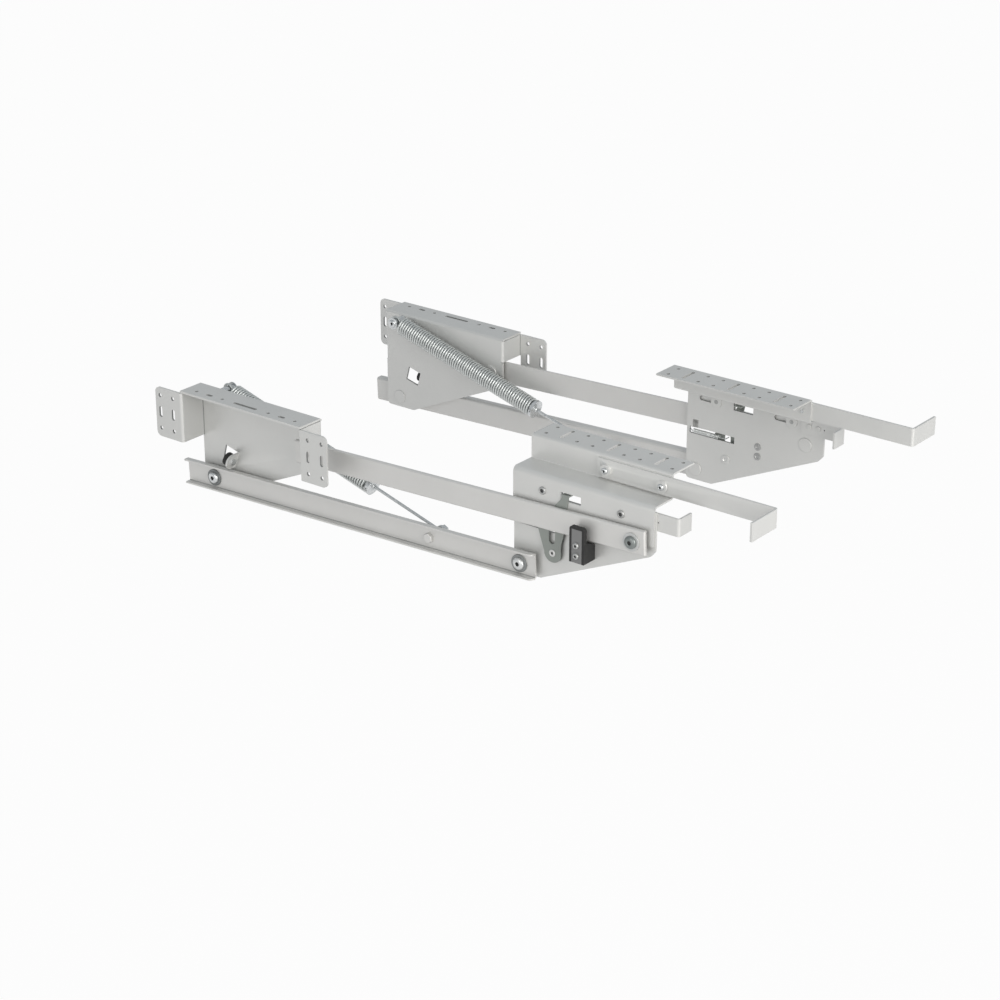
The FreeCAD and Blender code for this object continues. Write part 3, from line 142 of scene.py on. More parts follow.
class NodeShop:
    """Adds nodes to one material's tree."""

    def __init__(self, name: str) -> None:
        """Start an empty material.

        Args:
            name: the material's name.
        """
        self.material = bpy.data.materials.new(name)
        self.material.use_nodes = True
        self.tree = self.material.node_tree
        self.tree.nodes.clear()

    def node(self, kind: str, settings: dict, inputs: dict) -> bpy.types.Node:
        """Add a node.

        Args:
            kind: the node's type name.
            settings: attributes to set first.
            inputs: values or Fields by socket name or number.

        Returns:
            The new node.
        """
        node = self.tree.nodes.new(kind)
        for key, value in settings.items():
            setattr(node, key, value)
        for key, value in inputs.items():
            if isinstance(value, Field):
                self.tree.links.new(value.socket, node.inputs[key])
            else:
                node.inputs[key].default_value = value
        return node

    def add(self, kind: str, settings: dict, inputs: dict, output: object = 0) -> Field:
        """Add a node and return one of its outputs as a Field."""
        return Field(self, self.node(kind, settings, inputs).outputs[output])

    def place(self) -> Field:
        """The piece's own coordinates."""
        return self.add("ShaderNodeTexCoord", {}, {}, "Object")

    def noise(self, scale: float, detail: float = 2.0) -> Field:
        """Soft noise of about 0.5, with scale blobs to the metre."""
        return self.add("ShaderNodeTexNoise", {},
                        {"Vector": self.place(), "Scale": scale, "Detail": detail})

    def ramp(self, factor: Field, low: float, high: float) -> Field:
        """Stretch factor so that low becomes 0 and high becomes 1."""
        return self.add("ShaderNodeMapRange", {},
                        {"Value": factor, "From Min": low, "From Max": high})

    def blend(self, factor: object, one: tuple, other: tuple) -> Field:
        """Mix two colours."""
        return self.add("ShaderNodeMix", {"data_type": "RGBA"},
                        {0: factor, 6: (*one, 1.0), 7: (*other, 1.0)}, 2)

    def relief(self, height: Field, distance: float, strength: float) -> Field:
        """Turn a height into a bumped normal."""
        return self.add("ShaderNodeBump", {},
                        {"Height": height, "Distance": distance, "Strength": strength})

    def finish(self, **socket_shade: object) -> bpy.types.Material:
        """Add the surface shader and return the material.

        Args:
            socket_shade: values by socket name, with _ for a space.

        Returns:
            The finished material.
        """
        named = {key.replace("_", " "): value for key, value in socket_shade.items()}
        shader = self.node("ShaderNodeBsdfPrincipled", {}, named)
        self.node("ShaderNodeOutputMaterial", {}, {"Surface": Field(self, shader.outputs[0])})
        return self.material


@dataclass(frozen=True)
class CoatedSteel:
    """Sheet steel under a thin satin coat, faintly mottled, with a fine grain."""

    name: str
    pale: tuple = (0.68, 0.68, 0.665)
    dull: tuple = (0.62, 0.622, 0.61)
    roughness: float = 0.38
    metallic: float = 0.5

    def make(self) -> bpy.types.Material:
        """Build the material."""
        shop = NodeShop(self.name)
        cloud = shop.ramp(shop.noise(14.0, 3.0), 0.3, 0.7)
        grain = shop.noise(900.0, 2.0)
        return shop.finish(
            Base_Color=shop.blend((cloud * 0.6 + grain * 0.4).clipped(), self.dull, self.pale),
            Metallic=self.metallic,
            Roughness=grain * 0.10 + (self.roughness - 0.05) + cloud * 0.04,
            Normal=shop.relief(grain, 0.0002, 0.10))


@dataclass(frozen=True)
class PlatedSteel:
    """Bright plating on screws, pins and springs, with faint drawn or turned streaks."""

    name: str
    pale: tuple = (0.74, 0.75, 0.75)
    dull: tuple = (0.52, 0.54, 0.55)
    roughness: float = 0.27
    metallic: float = 0.85

    def make(self) -> bpy.types.Material:
        """Build the material."""
        shop = NodeShop(self.name)
        spangle = shop.ramp(shop.noise(420.0, 3.0), 0.35, 0.7)
        fine = shop.noise(2600.0, 2.0)
        return shop.finish(
            Base_Color=shop.blend(spangle, self.dull, self.pale),
            Metallic=self.metallic,
            Roughness=fine * 0.14 + (self.roughness - 0.07),
            Normal=shop.relief(fine, 0.0001, 0.08))


@dataclass(frozen=True)
class PairedSteel:
    """Plating for two like pieces on one body, one bright and one dark."""

    name: str
    rear: tuple
    front: tuple
    roughness: float
    border: float = (ORIGIN_BACK + FRONT_LOWER[0] - 90.0) * MM

    def make(self) -> bpy.types.Material:
        """Build the material."""
        shop = NodeShop(self.name)
        along = shop.add("ShaderNodeSeparateXYZ", {}, {0: shop.place()}, "Y")
        fine = shop.noise(2600.0, 2.0)
        return shop.finish(
            Base_Color=shop.blend(shop.ramp(along, self.border + 0.001, self.border),
                                  self.rear, self.front),
            Metallic=0.55,
            Roughness=fine * 0.14 + (self.roughness - 0.07),
            Normal=shop.relief(fine, 0.0001, 0.08))


@dataclass(frozen=True)
class Moulded:
    """Dark moulded plastic or rubber with a stippled surface."""

    name: str
    base: tuple = (0.018, 0.018, 0.019)
    worn: tuple = (0.045, 0.045, 0.046)
    roughness: float = 0.5
    stipple: float = 0.25

    def make(self) -> bpy.types.Material:
        """Build the material."""
        shop = NodeShop(self.name)
        grain = shop.noise(1800.0, 3.0)
        dust = shop.ramp(shop.noise(160.0, 3.0), 0.45, 0.75)
        return shop.finish(
            Base_Color=shop.blend(dust * 0.6, self.base, self.worn),
            Roughness=grain * 0.15 + (self.roughness - 0.07),
            Normal=shop.relief(grain, 0.0002, self.stipple))


class Finish(Enum):
    """Every finish on the fittings."""

    BRACKET = CoatedSteel("coated_sheet")
    ARM = CoatedSteel("coated_channel", (0.69, 0.685, 0.67), (0.63, 0.625, 0.61), 0.40)
    LATCH = CoatedSteel("latch_sheet", (0.31, 0.33, 0.31), (0.26, 0.28, 0.26), 0.40, 0.45)
    COVER = CoatedSteel("cover_sheet", (0.23, 0.23, 0.23), (0.18, 0.18, 0.18), 0.38, 0.5)
    PLATED = PlatedSteel("bright_plating")
    DULL = PlatedSteel("dull_plating", (0.46, 0.465, 0.46), (0.34, 0.345, 0.34), 0.36, 0.6)
    SPRING = PlatedSteel("spring_wire", (0.68, 0.70, 0.69), (0.50, 0.52, 0.515), 0.34, 0.75)
    WASHER = PlatedSteel("dark_washer", (0.24, 0.25, 0.25), (0.17, 0.18, 0.18), 0.42, 0.6)
    # Painted shade: a dark coat for inner bends and hole walls of the sheet, standing in for the
    # shade that gathers there.
    INNER = CoatedSteel("inner_corner", (0.34, 0.345, 0.34), (0.26, 0.265, 0.26), 0.55, 0.2)
    # Painted shade: the dark skin inside the screw sockets, standing in for the shade deep in a
    # socket.
    SHADE = PlatedSteel("socket_skin", (0.10, 0.105, 0.105), (0.05, 0.05, 0.05), 0.5, 0.3)
    FRONT_WASHERS = PairedSteel("front_washers", (0.24, 0.25, 0.25), (0.54, 0.55, 0.545), 0.36)
    FRONT_SCREWS = PairedSteel("front_screws", (0.64, 0.65, 0.65), (0.22, 0.24, 0.235), 0.30)
    PLASTIC = Moulded("moulded_plastic", (0.010, 0.010, 0.010), (0.022, 0.022, 0.022), 0.55)
    RUBBER = Moulded("stop_rubber", (0.012, 0.012, 0.012), (0.03, 0.03, 0.03), 0.75, 0.4)


class Palette:
    """Makes each finish once and hands it out."""

    def __init__(self) -> None:
        """Start with nothing made."""
        self._made: dict[Finish, bpy.types.Material] = {}

    def get(self, finish: Finish) -> bpy.types.Material:
        """Return the material of a finish, making it the first time."""
        if finish not in self._made:
            self._made[finish] = finish.value.make()
        return self._made[finish]


# ------------------------------------------------------------------ building helpers


class Workshop:
    """Turns bmesh shapes into dressed pieces that ride on a body."""

    def __init__(self, palette: Palette) -> None:
        """Keep the palette that every piece is dressed from."""
        self.palette = palette

    def deliver(self, mesh: bmesh.types.BMesh, name: str, finish: Finish,
                smooth: float = SMOOTH_ANGLE) -> bpy.types.Object:
        """Make an object from a finished bmesh.

        Args:
            mesh: the shape, in the row's frame; it is freed.
            name: the new piece's name.
            finish: its finish.
            smooth: faces that meet at less than this angle are shaded smooth.

        Returns:
            The new object.
        """
        data = bpy.data.meshes.new(name)
        mesh.to_mesh(data)
        mesh.free()
        data.materials.append(self.palette.get(finish))
        piece = bpy.data.objects.new(name, data)
        bpy.context.collection.objects.link(piece)
        data.shade_smooth()
        data.set_sharp_from_angle(angle=math.radians(smooth))
        level = piece.modifiers.new("level_faces", "WEIGHTED_NORMAL")
        level.keep_sharp = True
        level.weight = 100
        log.info("%s: %d faces", name, len(data.polygons))
        return piece

    def dress(self, node: str, finish: Finish) -> None:
        """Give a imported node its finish."""
        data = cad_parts[node].data
        data.materials.clear()
        data.materials.append(self.palette.get(finish))

    def eased(self, node: str, finish: Finish, slot: str, body: str, width: float,
              reach: float = 1.0) -> None:
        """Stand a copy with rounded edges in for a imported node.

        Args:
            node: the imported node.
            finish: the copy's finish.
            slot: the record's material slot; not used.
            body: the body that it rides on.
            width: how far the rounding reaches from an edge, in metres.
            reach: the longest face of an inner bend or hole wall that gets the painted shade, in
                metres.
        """
        mesh = bmesh.new()
        mesh.from_mesh(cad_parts[node].data)
        bmesh.ops.remove_doubles(mesh, verts=mesh.verts, dist=1e-6)
        bmesh.ops.dissolve_limit(mesh, angle_limit=LEVEL_ANGLE, verts=mesh.verts,
                                 edges=mesh.edges, use_dissolve_boundaries=False)
        # Painted shade: short faces with two or more concave edges (inner bends and hole walls)
        # get the second, dark material.
        if finish in (Finish.BRACKET, Finish.ARM):
            for face in mesh.faces:
                bends = [edge.calc_face_angle_signed(0.0) for edge in face.edges
                         if edge.is_manifold]
                longest = max(edge.calc_length() for edge in face.edges)
                face.material_index = int(len(face.verts) == 4 and longest < reach
                                          and sum(bend < INNER_BEND for bend in bends) >= 2)
        sharp = [edge for edge in mesh.edges
                 if edge.is_manifold and edge.calc_face_angle_signed(0.0) > SHARP_ANGLE]
        bmesh.ops.bevel(mesh, geom=sharp, offset=width, segments=2, profile=0.5, material=-1,
                        affect="EDGES", clamp_overlap=True)
        bmesh.ops.triangulate(mesh, faces=[f for f in mesh.faces if len(f.verts) > 4])
        piece = self.deliver(mesh, f"{node}_eased", finish)
        # The second material is the painted shade of inner bends and hole walls.
        piece.data.materials.append(self.palette.get(Finish.INNER))
        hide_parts(node)
        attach(piece, body)


def lathe(profile: list[tuple[float, float]], steps: int = 40) -> bmesh.types.BMesh:
    """Spin a profile once round the X axis.

    Args:
        profile: distance along X and radius of each corner, in millimetres.
        steps: how many facets the round has.

    Returns:
        The closed shape, in metres.
    """
    mesh = bmesh.new()
    corners = [mesh.verts.new((along * MM, 0.0, radius * MM)) for along, radius in profile]
    edges = [mesh.edges.new(pair) for pair in zip(corners, corners[1:])]
    bmesh.ops.spin(mesh, geom=corners + edges, cent=(0, 0, 0), axis=(1, 0, 0),
                   angle=math.tau, steps=steps, use_merge=True)
    bmesh.ops.remove_doubles(mesh, verts=mesh.verts, dist=1e-7)
    bmesh.ops.holes_fill(mesh, edges=[e for e in mesh.edges if e.is_boundary], sides=0)
    bmesh.ops.recalc_face_normals(mesh, faces=mesh.faces)
    return mesh


def gather(target: bmesh.types.BMesh, part: bmesh.types.BMesh, matrix: Matrix) -> None:
    """Move a part into place and add it to target; the part is freed."""
    part.transform(matrix)
    if matrix.determinant() < 0:
        bmesh.ops.reverse_faces(part, faces=part.faces)
    data = bpy.data.meshes.new("part")
    part.to_mesh(data)
    part.free()
    target.from_mesh(data)
    bpy.data.meshes.remove(data)


# ------------------------------------------------------------------ screws and washers


@dataclass(frozen=True)
class SocketScrew:
    """A domed screw with a hexagon socket, drawn with its seat at X = 0 facing +X.

    Attributes:
        radius: the head's radius, in millimetres like the rest.
        height: the head's height.
        socket: the socket's radius over its corners.
        shank: the shank's radius.
        reach: how far the shank goes below the seat.
        washer: radius of a washer under the head, or 0 for none.
        tail: radius of a riveted ring at the shank's end, or 0 for none.
    """

    radius: float
    height: float
    socket: float
    shank: float
    reach: float
    washer: float = 0.0
    tail: float = 0.0

    def shape(self) -> bmesh.types.BMesh:
        """Build head, socket and shank in one mesh.

        Returns:
            The shape, in metres.
        """
        rim = self.height * 0.3
        crown = [(rim + (self.height - rim) * math.sin(turn),
                  self.socket * 1.25 + (self.radius - self.socket * 1.25) * math.cos(turn))
                 for turn in (math.tau / 4 * step / 6 for step in range(7))]
        outline = [(-self.reach, 0.0), (-self.reach, self.shank), (0.0, self.shank),
                   (0.0, self.radius - 0.25), (0.25, self.radius)]
        if self.tail:
            low = -self.reach
            outline[:2] = [(low + 0.8, 0.0), (low + 0.8, self.tail * 0.42),
                           (low + 0.1, self.tail * 0.5), (low, self.tail * 0.62),
                           (low, self.tail * 0.8), (low + 0.5, self.tail),
                           (low + 1.2, self.tail), (low + 1.2, self.shank)]
        if self.washer:
            outline[-3:-1] = [(0.0, self.shank), (0.0, self.washer), (1.0, self.washer),
                              (1.2, self.washer - 0.3)]
            outline[-1] = (1.2, self.radius)
        walls = [(self.height - 0.15, self.socket * 1.12), (self.height - 0.4, self.socket),
                 (self.floor, self.socket), (self.floor, 0.0)]
        mesh = lathe(outline + crown + walls, 48)
        self._flats(mesh)
        return mesh

    @property
    def floor(self) -> float:
        """How high the socket's floor lies above the seat."""
        return self.height * 0.28

    def liner(self) -> bmesh.types.BMesh:
        """Build the painted shade of the socket: a thin dark skin that stands in for the shade
        deep inside it.

        Returns:
            A thin closed cup, in metres.
        """
        outer, inner = self.socket * 0.985, self.socket * 0.93
        top, low = self.height - 0.55, self.floor + 0.03
        mesh = lathe([(low, 0.0), (low, outer), (top, outer), (top, inner), (low + 0.15, inner),
                      (low + 0.15, 0.0)], 48)
        self._flats(mesh)
        return mesh

    def _flats(self, mesh: bmesh.types.BMesh) -> None:
        """Press the round socket into a hexagon."""
        for vert in mesh.verts:
            radius = math.hypot(vert.co.y, vert.co.z)
            if self.floor * MM * 0.99 < vert.co.x and 0 < radius < self.socket * MM * 1.01:
                turn = math.atan2(vert.co.z, vert.co.y) % (math.tau / 6) - math.tau / 12
                flat = math.cos(math.tau / 12) / math.cos(turn)
                vert.co.y *= flat
                vert.co.z *= flat


PIVOT_SCREW = SocketScrew(8.75, 4.2, 3.3, 2.45, 5.0)
REAR_SCREW = SocketScrew(6.0, 3.0, 2.3, 2.45, 5.0)
STUD_SCREW = SocketScrew(6.2, 3.3, 2.4, 2.45, 10.0, washer=9.0)
CLAMP_SCREW = SocketScrew(5.5, 2.5, 3.0, 3.0, 6.9)
HOOK_SCREW = SocketScrew(4.5, 3.0, 1.9, 2.5, 11.5)
BLOCK_SCREW = SocketScrew(4.5, 3.0, 1.9, 2.5, 29.2, tail=5.5)
LATCH_RIVET = SocketScrew(5.0, 1.2, 2.2, 4.0, 9.0, tail=6.75)


@dataclass
class ScrewRow:
    """One node's screws: the same screw at several places on both or one of the sides."""

    node: str
    slot: str
    body: str
    screw: SocketScrew
    seats: list[tuple[Side, float, float, float]]
    facing: int = 1
    finish: Finish = Finish.PLATED

    def build(self, shop: Workshop) -> None:
        """Model every screw of the node and let the piece stand for the node."""
        heads, socket_shade = bmesh.new(), bmesh.new()
        for side, x, y, z in self.seats:
            way = side.value * self.facing
            place = Matrix.Translation(side.point(x, y, z)) @ Matrix.Diagonal((way, 1, 1, 1))
            gather(heads, self.screw.shape(), place)
            # Each screw also gets a thin dark cup in its socket: painted shade.
            gather(socket_shade, self.screw.liner(), place)
        piece = shop.deliver(heads, f"{self.node}_turned", self.finish, 30.0)
        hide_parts(self.node)
        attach(piece, self.body)
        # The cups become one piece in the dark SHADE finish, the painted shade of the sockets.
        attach(shop.deliver(socket_shade, f"{self.node}_sockets", Finish.SHADE, 30.0),
                self.body)


# ------------------------------------------------------------------ springs


@dataclass
class PullSpring:
    """The long extension spring from the bracket's stud to the plug of the pull rod."""

    side: Side
    plane: float = 186.0
    stud: tuple[float, float] = STUD
    bolt: tuple[float, float] = (-402.0 * math.cos(TILT), 402.0 * math.sin(TILT))
    wire: float = 1.75
    mean: float = 12.25
    start: float = 11.5
    end: float = 277.5
    turns: int = 61
    eye: float = 8.05

    def _section(self, mesh: bmesh.types.BMesh, centre: Vector, facing: Vector) -> list:
        """Add one wire section.

        Args:
            mesh: where to add it.
            centre: the section's centre.
            facing: the way the wire runs.

        Returns:
            Its vertices and edges.
        """
        turn = facing.to_track_quat("Z", "Y").to_matrix().to_4x4()
        made = bmesh.ops.create_circle(mesh, segments=12, radius=self.wire * MM,
                                       matrix=Matrix.Translation(centre * MM) @ turn)
        edges = {edge for vert in made["verts"] for edge in vert.link_edges}
        return made["verts"] + list(edges)

    def shape(self) -> bmesh.types.BMesh:
        """Build coil, crossing link, leg and eye, drawn along +Z from the stud.

        Returns:
            The shape, in metres.
        """
        mesh = bmesh.new()
        low = self.start + self.wire
        steps = self.turns * 24
        rise = (self.end - self.wire - low) / steps
        ring = self._section(mesh, Vector((self.mean, 0, low)), Vector((0, 1, 0)))
        bmesh.ops.spin(mesh, geom=ring, cent=(0, 0, 0), axis=(0, 0, 1),
                       dvec=(0, 0, rise * MM), angle=math.tau * self.turns, steps=steps)
        ring = self._section(mesh, Vector((0, 0, self.eye)), Vector((0, 1, 0)))
        bmesh.ops.spin(mesh, geom=ring, cent=(0, 0, 0), axis=(1, 0, 0), angle=math.tau,
                       steps=40, use_merge=True)
        self._run(mesh, Vector((0, 0, self.eye)), Vector((0, 0, low)))
        self._run(mesh, Vector((0, 0, low)), Vector((self.mean, 0, low)))
        bmesh.ops.remove_doubles(mesh, verts=mesh.verts, dist=1e-7)
        bmesh.ops.holes_fill(mesh, edges=[e for e in mesh.edges if e.is_boundary], sides=0)
        bmesh.ops.recalc_face_normals(mesh, faces=mesh.faces)
        return mesh

    def _run(self, mesh: bmesh.types.BMesh, tail: Vector, head: Vector) -> None:
        """Add a straight stretch of wire with a round cap at each end."""
        facing = (head - tail).normalized()
        turn = facing.to_track_quat("Z", "Y").to_matrix().to_4x4()
        middle = Matrix.Translation((tail + head) / 2 * MM) @ turn
        bmesh.ops.create_cone(mesh, cap_ends=True, segments=12, radius1=self.wire * MM,
                              radius2=self.wire * MM, depth=(head - tail).length * MM,
                              matrix=middle)
        for end in (tail, head):
            bmesh.ops.create_icosphere(mesh, subdivisions=2, radius=self.wire * MM,
                                       matrix=Matrix.Translation(end * MM))

    def build(self, shop: Workshop) -> None:
        """Put the spring in place, running from the stud towards the plug."""
        reach = Vector((0, self.bolt[0] - self.stud[0], self.bolt[1] - self.stud[1]))
        way = reach.normalized()
        slope = math.atan2(-way.z, -way.y)
        foot = self.side.point(self.plane, *self.stud)
        mesh = self.shape()
        mesh.transform(Matrix.Translation(foot)
                       @ Matrix.Rotation(math.pi / 2 + slope, 4, "X")
                       @ Matrix.Diagonal((self.side.value, 1, 1, 1)))
        bmesh.ops.recalc_face_normals(mesh, faces=mesh.faces)
        word = self.side.word
        piece = shop.deliver(mesh, f"{word}_pull_spring", Finish.SPRING, 60.0)
        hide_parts(f"{word}_spring_coil")
        foot + way * self.start * MM
        foot + way * self.end * MM
        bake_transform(piece)


@dataclass
class ReturnSpring:
    """The small extension spring that holds the latch lever shut."""

    side: Side
    plane: float = 200.0
    rise: float = 58.7
    near: float = 4.0
    far: float = -40.0
    rear_hook: float = 10.2
    rear_reach: float = 3.5
    front_hook: float = -51.0
    front_reach: float = 8.5
    hook_wire: float = 0.7
    wire: float = 0.5
    mean: float = 2.9
    turns: int = 24

    def build(self, shop: Workshop) -> None:
        """Wind the spring along Y with a straight hook at each end."""
        mesh = bmesh.new()
        steps = self.turns * 16
        y, z = FRONT_LOWER[0], FRONT_LOWER[1] + self.rise
        axis = self.side.point(self.plane, y + self.near, z)
        turn = Vector((0, 0, 1)).to_track_quat("Z", "Y").to_matrix().to_4x4()
        made = bmesh.ops.create_circle(
            mesh, segments=8, radius=self.wire * MM,
            matrix=Matrix.Translation(axis + Vector((self.mean * MM, 0, 0))) @ turn)
        ring = made["verts"] + list({e for v in made["verts"] for e in v.link_edges})
        bmesh.ops.spin(mesh, geom=ring, cent=axis, axis=(0, 1, 0),
                       dvec=(0, (self.far - self.near) / steps * MM, 0),
                       angle=math.tau * self.turns, steps=steps)
        bmesh.ops.holes_fill(mesh, edges=[e for e in mesh.edges if e.is_boundary], sides=0)
        for end, hook, reach in ((self.near, self.rear_hook, self.rear_reach),
                                 (self.far, self.front_hook, self.front_reach)):
            corner = (self.plane, y + hook, z)
            self._rod(mesh, (self.plane, y + end, z), corner)
            self._rod(mesh, corner, (self.plane + reach, y + hook, z))
        bmesh.ops.recalc_face_normals(mesh, faces=mesh.faces)
        word = self.side.word
        piece = shop.deliver(mesh, f"{word}_return_spring", Finish.SPRING, 60.0)
        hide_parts(f"{word}_latch_spring")
        self.side.point(self.plane, y + self.near, z)
        self.side.point(self.plane, y + self.far, z)
        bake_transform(piece)

    def _rod(self, mesh: bmesh.types.BMesh, tail: tuple, head: tuple) -> None:
        """Add a straight stretch of wire between two points in millimetres."""
        one, other = self.side.point(*tail), self.side.point(*head)
        run = other - one
        turn = run.to_track_quat("Z", "Y").to_matrix().to_4x4()
        bmesh.ops.create_cone(mesh, cap_ends=True, segments=10,
                              radius1=self.hook_wire * MM, radius2=self.hook_wire * MM,
                              depth=run.length,
                              matrix=Matrix.Translation((one + other) / 2) @ turn)
        bmesh.ops.create_icosphere(mesh, subdivisions=2, radius=self.hook_wire * MM,
                                   matrix=Matrix.Translation(other))


# ------------------------------------------------------------------ sub-assemblies


@dataclass
class WallBrackets:
    """Everything fixed to the cabinet: both brackets, their pivots, studs and stop pads."""

    body: str = "brackets"
    ease: float = EASE_SHEET
    lower_pivot: tuple[float, float, float] = (214.4, 0.0, 0.0)
    upper_pivot: tuple[float, float, float] = (215.6, *REAR_UPPER)
    stud_end: tuple[float, float, float] = (178.0, *STUD)
    pad_ease: float = 0.001

    def build(self, shop: Workshop) -> None:
        """Dress the brackets and model their small pieces."""
        for side in Side:
            shop.eased(f"{side.word}_wall_bracket", Finish.BRACKET, "bracket_steel",
                       self.body, self.ease)
        shop.eased("bracket_pivot_pins", Finish.BRACKET, "bracket_steel", self.body, EASE_PIN)
        shop.eased("bracket_lower_washers", Finish.WASHER, "washer", self.body, EASE_FINE)
        shop.eased("spring_studs", Finish.PLATED, "zinc", self.body, EASE_SMALL)
        shop.eased("stop_pads", Finish.RUBBER, "black_rubber", self.body, self.pad_ease)
        shop.dress("stop_pad_screws", Finish.PLATED)
        rows = [
            ("bracket_lower_screws", PIVOT_SCREW, self.lower_pivot, 1),
            ("bracket_upper_screws", REAR_SCREW, self.upper_pivot, 1),
            ("spring_stud_screws", STUD_SCREW, self.stud_end, -1),
        ]
        for node, screw, seat, facing in rows:
            ScrewRow(node, "zinc", self.body, screw, [(side, *seat) for side in Side],
                     facing).build(shop)


@dataclass
class SwingArms:
    """Both arms of one side, with the spring's bolt, rod and plug."""

    side: Side
    ease: float = 0.0005
    bolt_ease: float = 0.0009
    plug_ease: float = 0.0006

    def build(self, shop: Workshop) -> None:
        """Dress the arms and model the spring."""
        word = self.side.word
        pieces = [
            ("lower_arm", Finish.ARM, "arm_steel", "lower_arm", self.ease),
            ("upper_arm", Finish.ARM, "arm_steel", "upper_arm", self.ease),
            ("spring_bolt", Finish.ARM, "zinc", "lower_arm", self.bolt_ease),
            ("spring_bolt_nut", Finish.PLATED, "zinc", "lower_arm", EASE_SMALL),
            ("spring_plug", Finish.PLATED, "zinc", "plug", self.plug_ease),
            ("spring_rod", Finish.PLATED, "zinc", "rod", self.ease),
        ]
        for node, finish, slot, body, width in pieces:
            shop.eased(f"{word}_{node}", finish, slot, f"{word}_{body}_body", width)
        PullSpring(self.side).build(shop)


@dataclass
class Carriage:
    """The plate that the arms keep level, with its shelf angle, latch, hooks and stop."""

    side: Side
    ease: float = EASE_SHEET
    clamp_places: tuple = (32.9, 157.9)
    hook_places: tuple = (108.1, 195.9)
    block_rises: tuple = (45.0, 59.6)
    clamp_rise: float = 110.8
    hook_rise: float = 146.8
    block_back: float = 104.3
    latch_place: tuple = (51.1, 27.2)
    flange_reach: float = 0.004
    rivet_ease: float = 0.0006
    arm_seats: tuple = (214.4, 217.4)
    leg_seat: float = 206.5
    hook_seat: float = 174.0
    cover_seat: float = 229.0
    lever_seat: float = 208.8

    def build(self, shop: Workshop) -> None:
        """Dress the sheet parts and model the small ones."""
        word = self.side.word
        body = f"{word}_carriage_body"
        for node in ("carriage_plate", "shelf_angle", "long_hook", "short_hook"):
            # On the shelf angle only faces shorter than flange_reach get the painted corner shade.
            reach = self.flange_reach if node == "shelf_angle" else 1.0
            shop.eased(f"{word}_{node}", Finish.BRACKET, "bracket_steel", body, self.ease, reach)
        pieces = [
            ("latch_lever", Finish.LATCH, "latch_steel", f"{word}_latch_body", EASE_SMALL),
            ("stop_block", Finish.PLASTIC, "black_plastic", body, EASE_PIN),
            ("stop_cover", Finish.COVER, "bracket_steel", body, EASE_FINE),
            ("carriage_pivot_pins", Finish.BRACKET, "bracket_steel", body, EASE_PIN),
            ("short_hook_rivets", Finish.BRACKET, "bracket_steel", body, self.rivet_ease),
            ("carriage_pivot_washers", Finish.FRONT_WASHERS, "washer", body, EASE_FINE),
            ("clamp_nuts", Finish.BRACKET, "zinc", body, EASE_SMALL),
        ]
        for node, *dressing in pieces:
            shop.eased(f"{word}_{node}", *dressing)
        self._screws(shop, body)
        ReturnSpring(self.side).build(shop)

    def _screws(self, shop: Workshop, body: str) -> None:
        """Model the carriage's screws."""
        word, side = self.side.word, self.side
        y, z = FRONT_LOWER
        rows = [
            ("carriage_pivot_screws", PIVOT_SCREW,
             [(side, self.arm_seats[0], *FRONT_LOWER), (side, self.arm_seats[1], *FRONT_UPPER)]),
            ("clamp_screws", CLAMP_SCREW,
             [(side, self.leg_seat, y - back, z + self.clamp_rise) for back in self.clamp_places]),
            ("hook_screws", HOOK_SCREW,
             [(side, self.hook_seat, y - back, z + self.hook_rise) for back in self.hook_places]),
            ("stop_block_screws", BLOCK_SCREW,
             [(side, self.cover_seat, y - self.block_back, z + rise)
              for rise in self.block_rises]),
            ("latch_pivot", LATCH_RIVET,
             [(side, self.lever_seat, y - self.latch_place[0], z + self.latch_place[1])]),
        ]
        finishes = {"carriage_pivot_screws": Finish.FRONT_SCREWS, "latch_pivot": Finish.BRACKET,
                    "stop_block_screws": Finish.DULL, "clamp_screws": Finish.DULL}
        for node, screw, seats in rows:
            ScrewRow(f"{word}_{node}", "zinc", body, screw, seats,
                     finish=finishes.get(node, Finish.PLATED)).build(shop)


# ------------------------------------------------------------------ studio


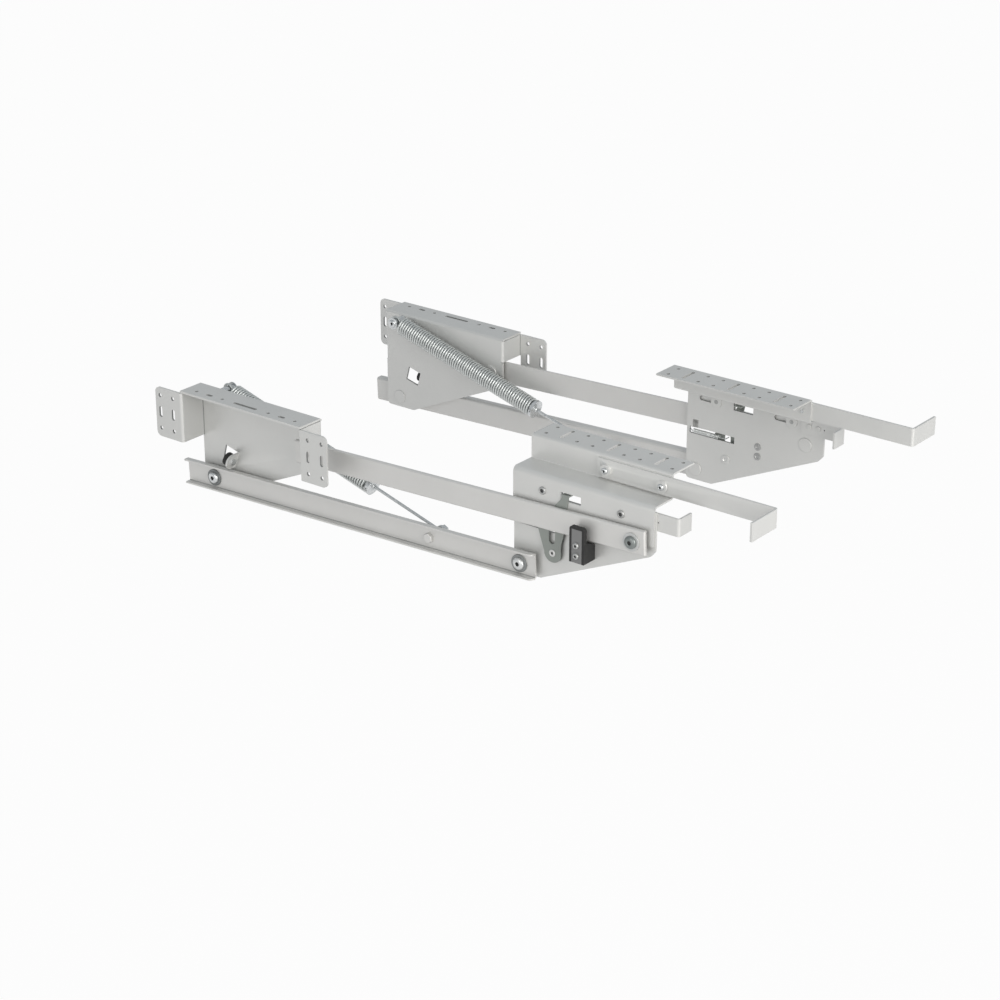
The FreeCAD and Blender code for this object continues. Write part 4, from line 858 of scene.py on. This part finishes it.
@dataclass
class Studio:
    """Pale floor, soft lamps and the camera."""

    floor_height: float = -0.62
    eye: tuple = (-2.65334, -2.00661, 1.44902)
    azimuth: float = -52.0
    elevation: float = 23.2
    lens: float = 92.15
    lamp_size: float = 2.2
    key: tuple = ((-0.9, -2.8, 0.9), 72.0)
    fill: tuple = ((-2.9, -0.3, 0.8), 21.0)
    sky: float = 0.56

    def build(self) -> None:
        """Set the whole stage up."""
        scene = bpy.context.scene
        scene.view_settings.view_transform = "Standard"
        self._floor()
        self._world(scene)
        self._lamp("key", *self.key)
        self._lamp("fill", *self.fill)
        self._camera(scene)

    def _backdrop(self, strength: float) -> bpy.types.Material:
        """A floor that the lamps light, shown as plain white to the camera."""
        shop = NodeShop("pale_floor")
        matte = shop.add("ShaderNodeBsdfDiffuse", {}, {"Color": (0.25, 0.25, 0.25, 1)})
        glow = shop.add("ShaderNodeEmission", {}, {"Color": (1, 1, 1, 1), "Strength": strength})
        path = shop.node("ShaderNodeLightPath", {}, {})
        seen = (Field(shop, path.outputs["Is Camera Ray"])
                + Field(shop, path.outputs["Is Glossy Ray"])).clipped() * 0.97
        surface = shop.add("ShaderNodeMixShader", {}, {0: seen, 1: matte, 2: glow})
        shop.node("ShaderNodeOutputMaterial", {}, {"Surface": surface})
        return shop.material

    def _floor(self) -> None:
        """A large plain floor below the lowered arms."""
        mesh = bmesh.new()
        bmesh.ops.create_grid(mesh, x_segments=2, y_segments=2, size=30.0,
                              matrix=Matrix.Translation((0, 0, self.floor_height)))
        data = bpy.data.meshes.new("floor")
        mesh.to_mesh(data)
        mesh.free()
        data.materials.append(self._backdrop(1.0))
        floor = bpy.data.objects.new("floor", data)
        bpy.context.collection.objects.link(floor)

    def _world(self, scene: bpy.types.Scene) -> None:
        """Even pale light from all round, and white where the camera looks past the floor."""
        world = bpy.data.worlds.new("studio")
        scene.world = world
        world.use_nodes = True
        tree = world.node_tree
        tree.nodes.clear()
        path = tree.nodes.new("ShaderNodeLightPath")
        seen = tree.nodes.new("ShaderNodeBackground")
        seen.inputs["Color"].default_value = (1, 1, 1, 1)
        soft = tree.nodes.new("ShaderNodeBackground")
        soft.inputs["Color"].default_value = (0.93, 0.97, 1.0, 1)
        soft.inputs["Strength"].default_value = self.sky
        mix = tree.nodes.new("ShaderNodeMixShader")
        out = tree.nodes.new("ShaderNodeOutputWorld")
        tree.links.new(path.outputs["Is Camera Ray"], mix.inputs[0])
        tree.links.new(soft.outputs[0], mix.inputs[1])
        tree.links.new(seen.outputs[0], mix.inputs[2])
        tree.links.new(mix.outputs[0], out.inputs["Surface"])

    def _lamp(self, name: str, place: tuple, power: float) -> None:
        """A large soft lamp aimed at the object's middle."""
        lamp = bpy.data.lights.new(name, "AREA")
        lamp.shape = "DISK"
        lamp.size = self.lamp_size
        lamp.energy = power
        lamp.color = (1.0, 0.975, 0.94)
        holder = bpy.data.objects.new(name, lamp)
        holder.location = place
        aim = Vector((0.0, 0.0, 0.1)) - Vector(place)
        holder.rotation_euler = aim.to_track_quat("-Z", "Y").to_euler()
        bpy.context.collection.objects.link(holder)

    def _camera(self, scene: bpy.types.Scene) -> None:
        """The camera, turned to the viewing angle."""
        data = bpy.data.cameras.new("camera")
        data.lens = self.lens
        data.sensor_width = 36.0
        data.clip_start = 0.05
        camera = bpy.data.objects.new("camera", data)
        camera.location = self.eye
        camera.rotation_euler = (math.radians(90.0 - self.elevation), 0.0,
                                 math.radians(self.azimuth))
        bpy.context.collection.objects.link(camera)
        scene.camera = camera


def main() -> None:
    """Build every sub-assembly in order."""
    logging.basicConfig(level=logging.INFO, format="%(message)s")
    shop = Workshop(Palette())
    WallBrackets().build(shop)
    for side in Side:
        SwingArms(side).build(shop)
        Carriage(side).build(shop)
    Studio().build()


if __name__ == "__main__":
    main()
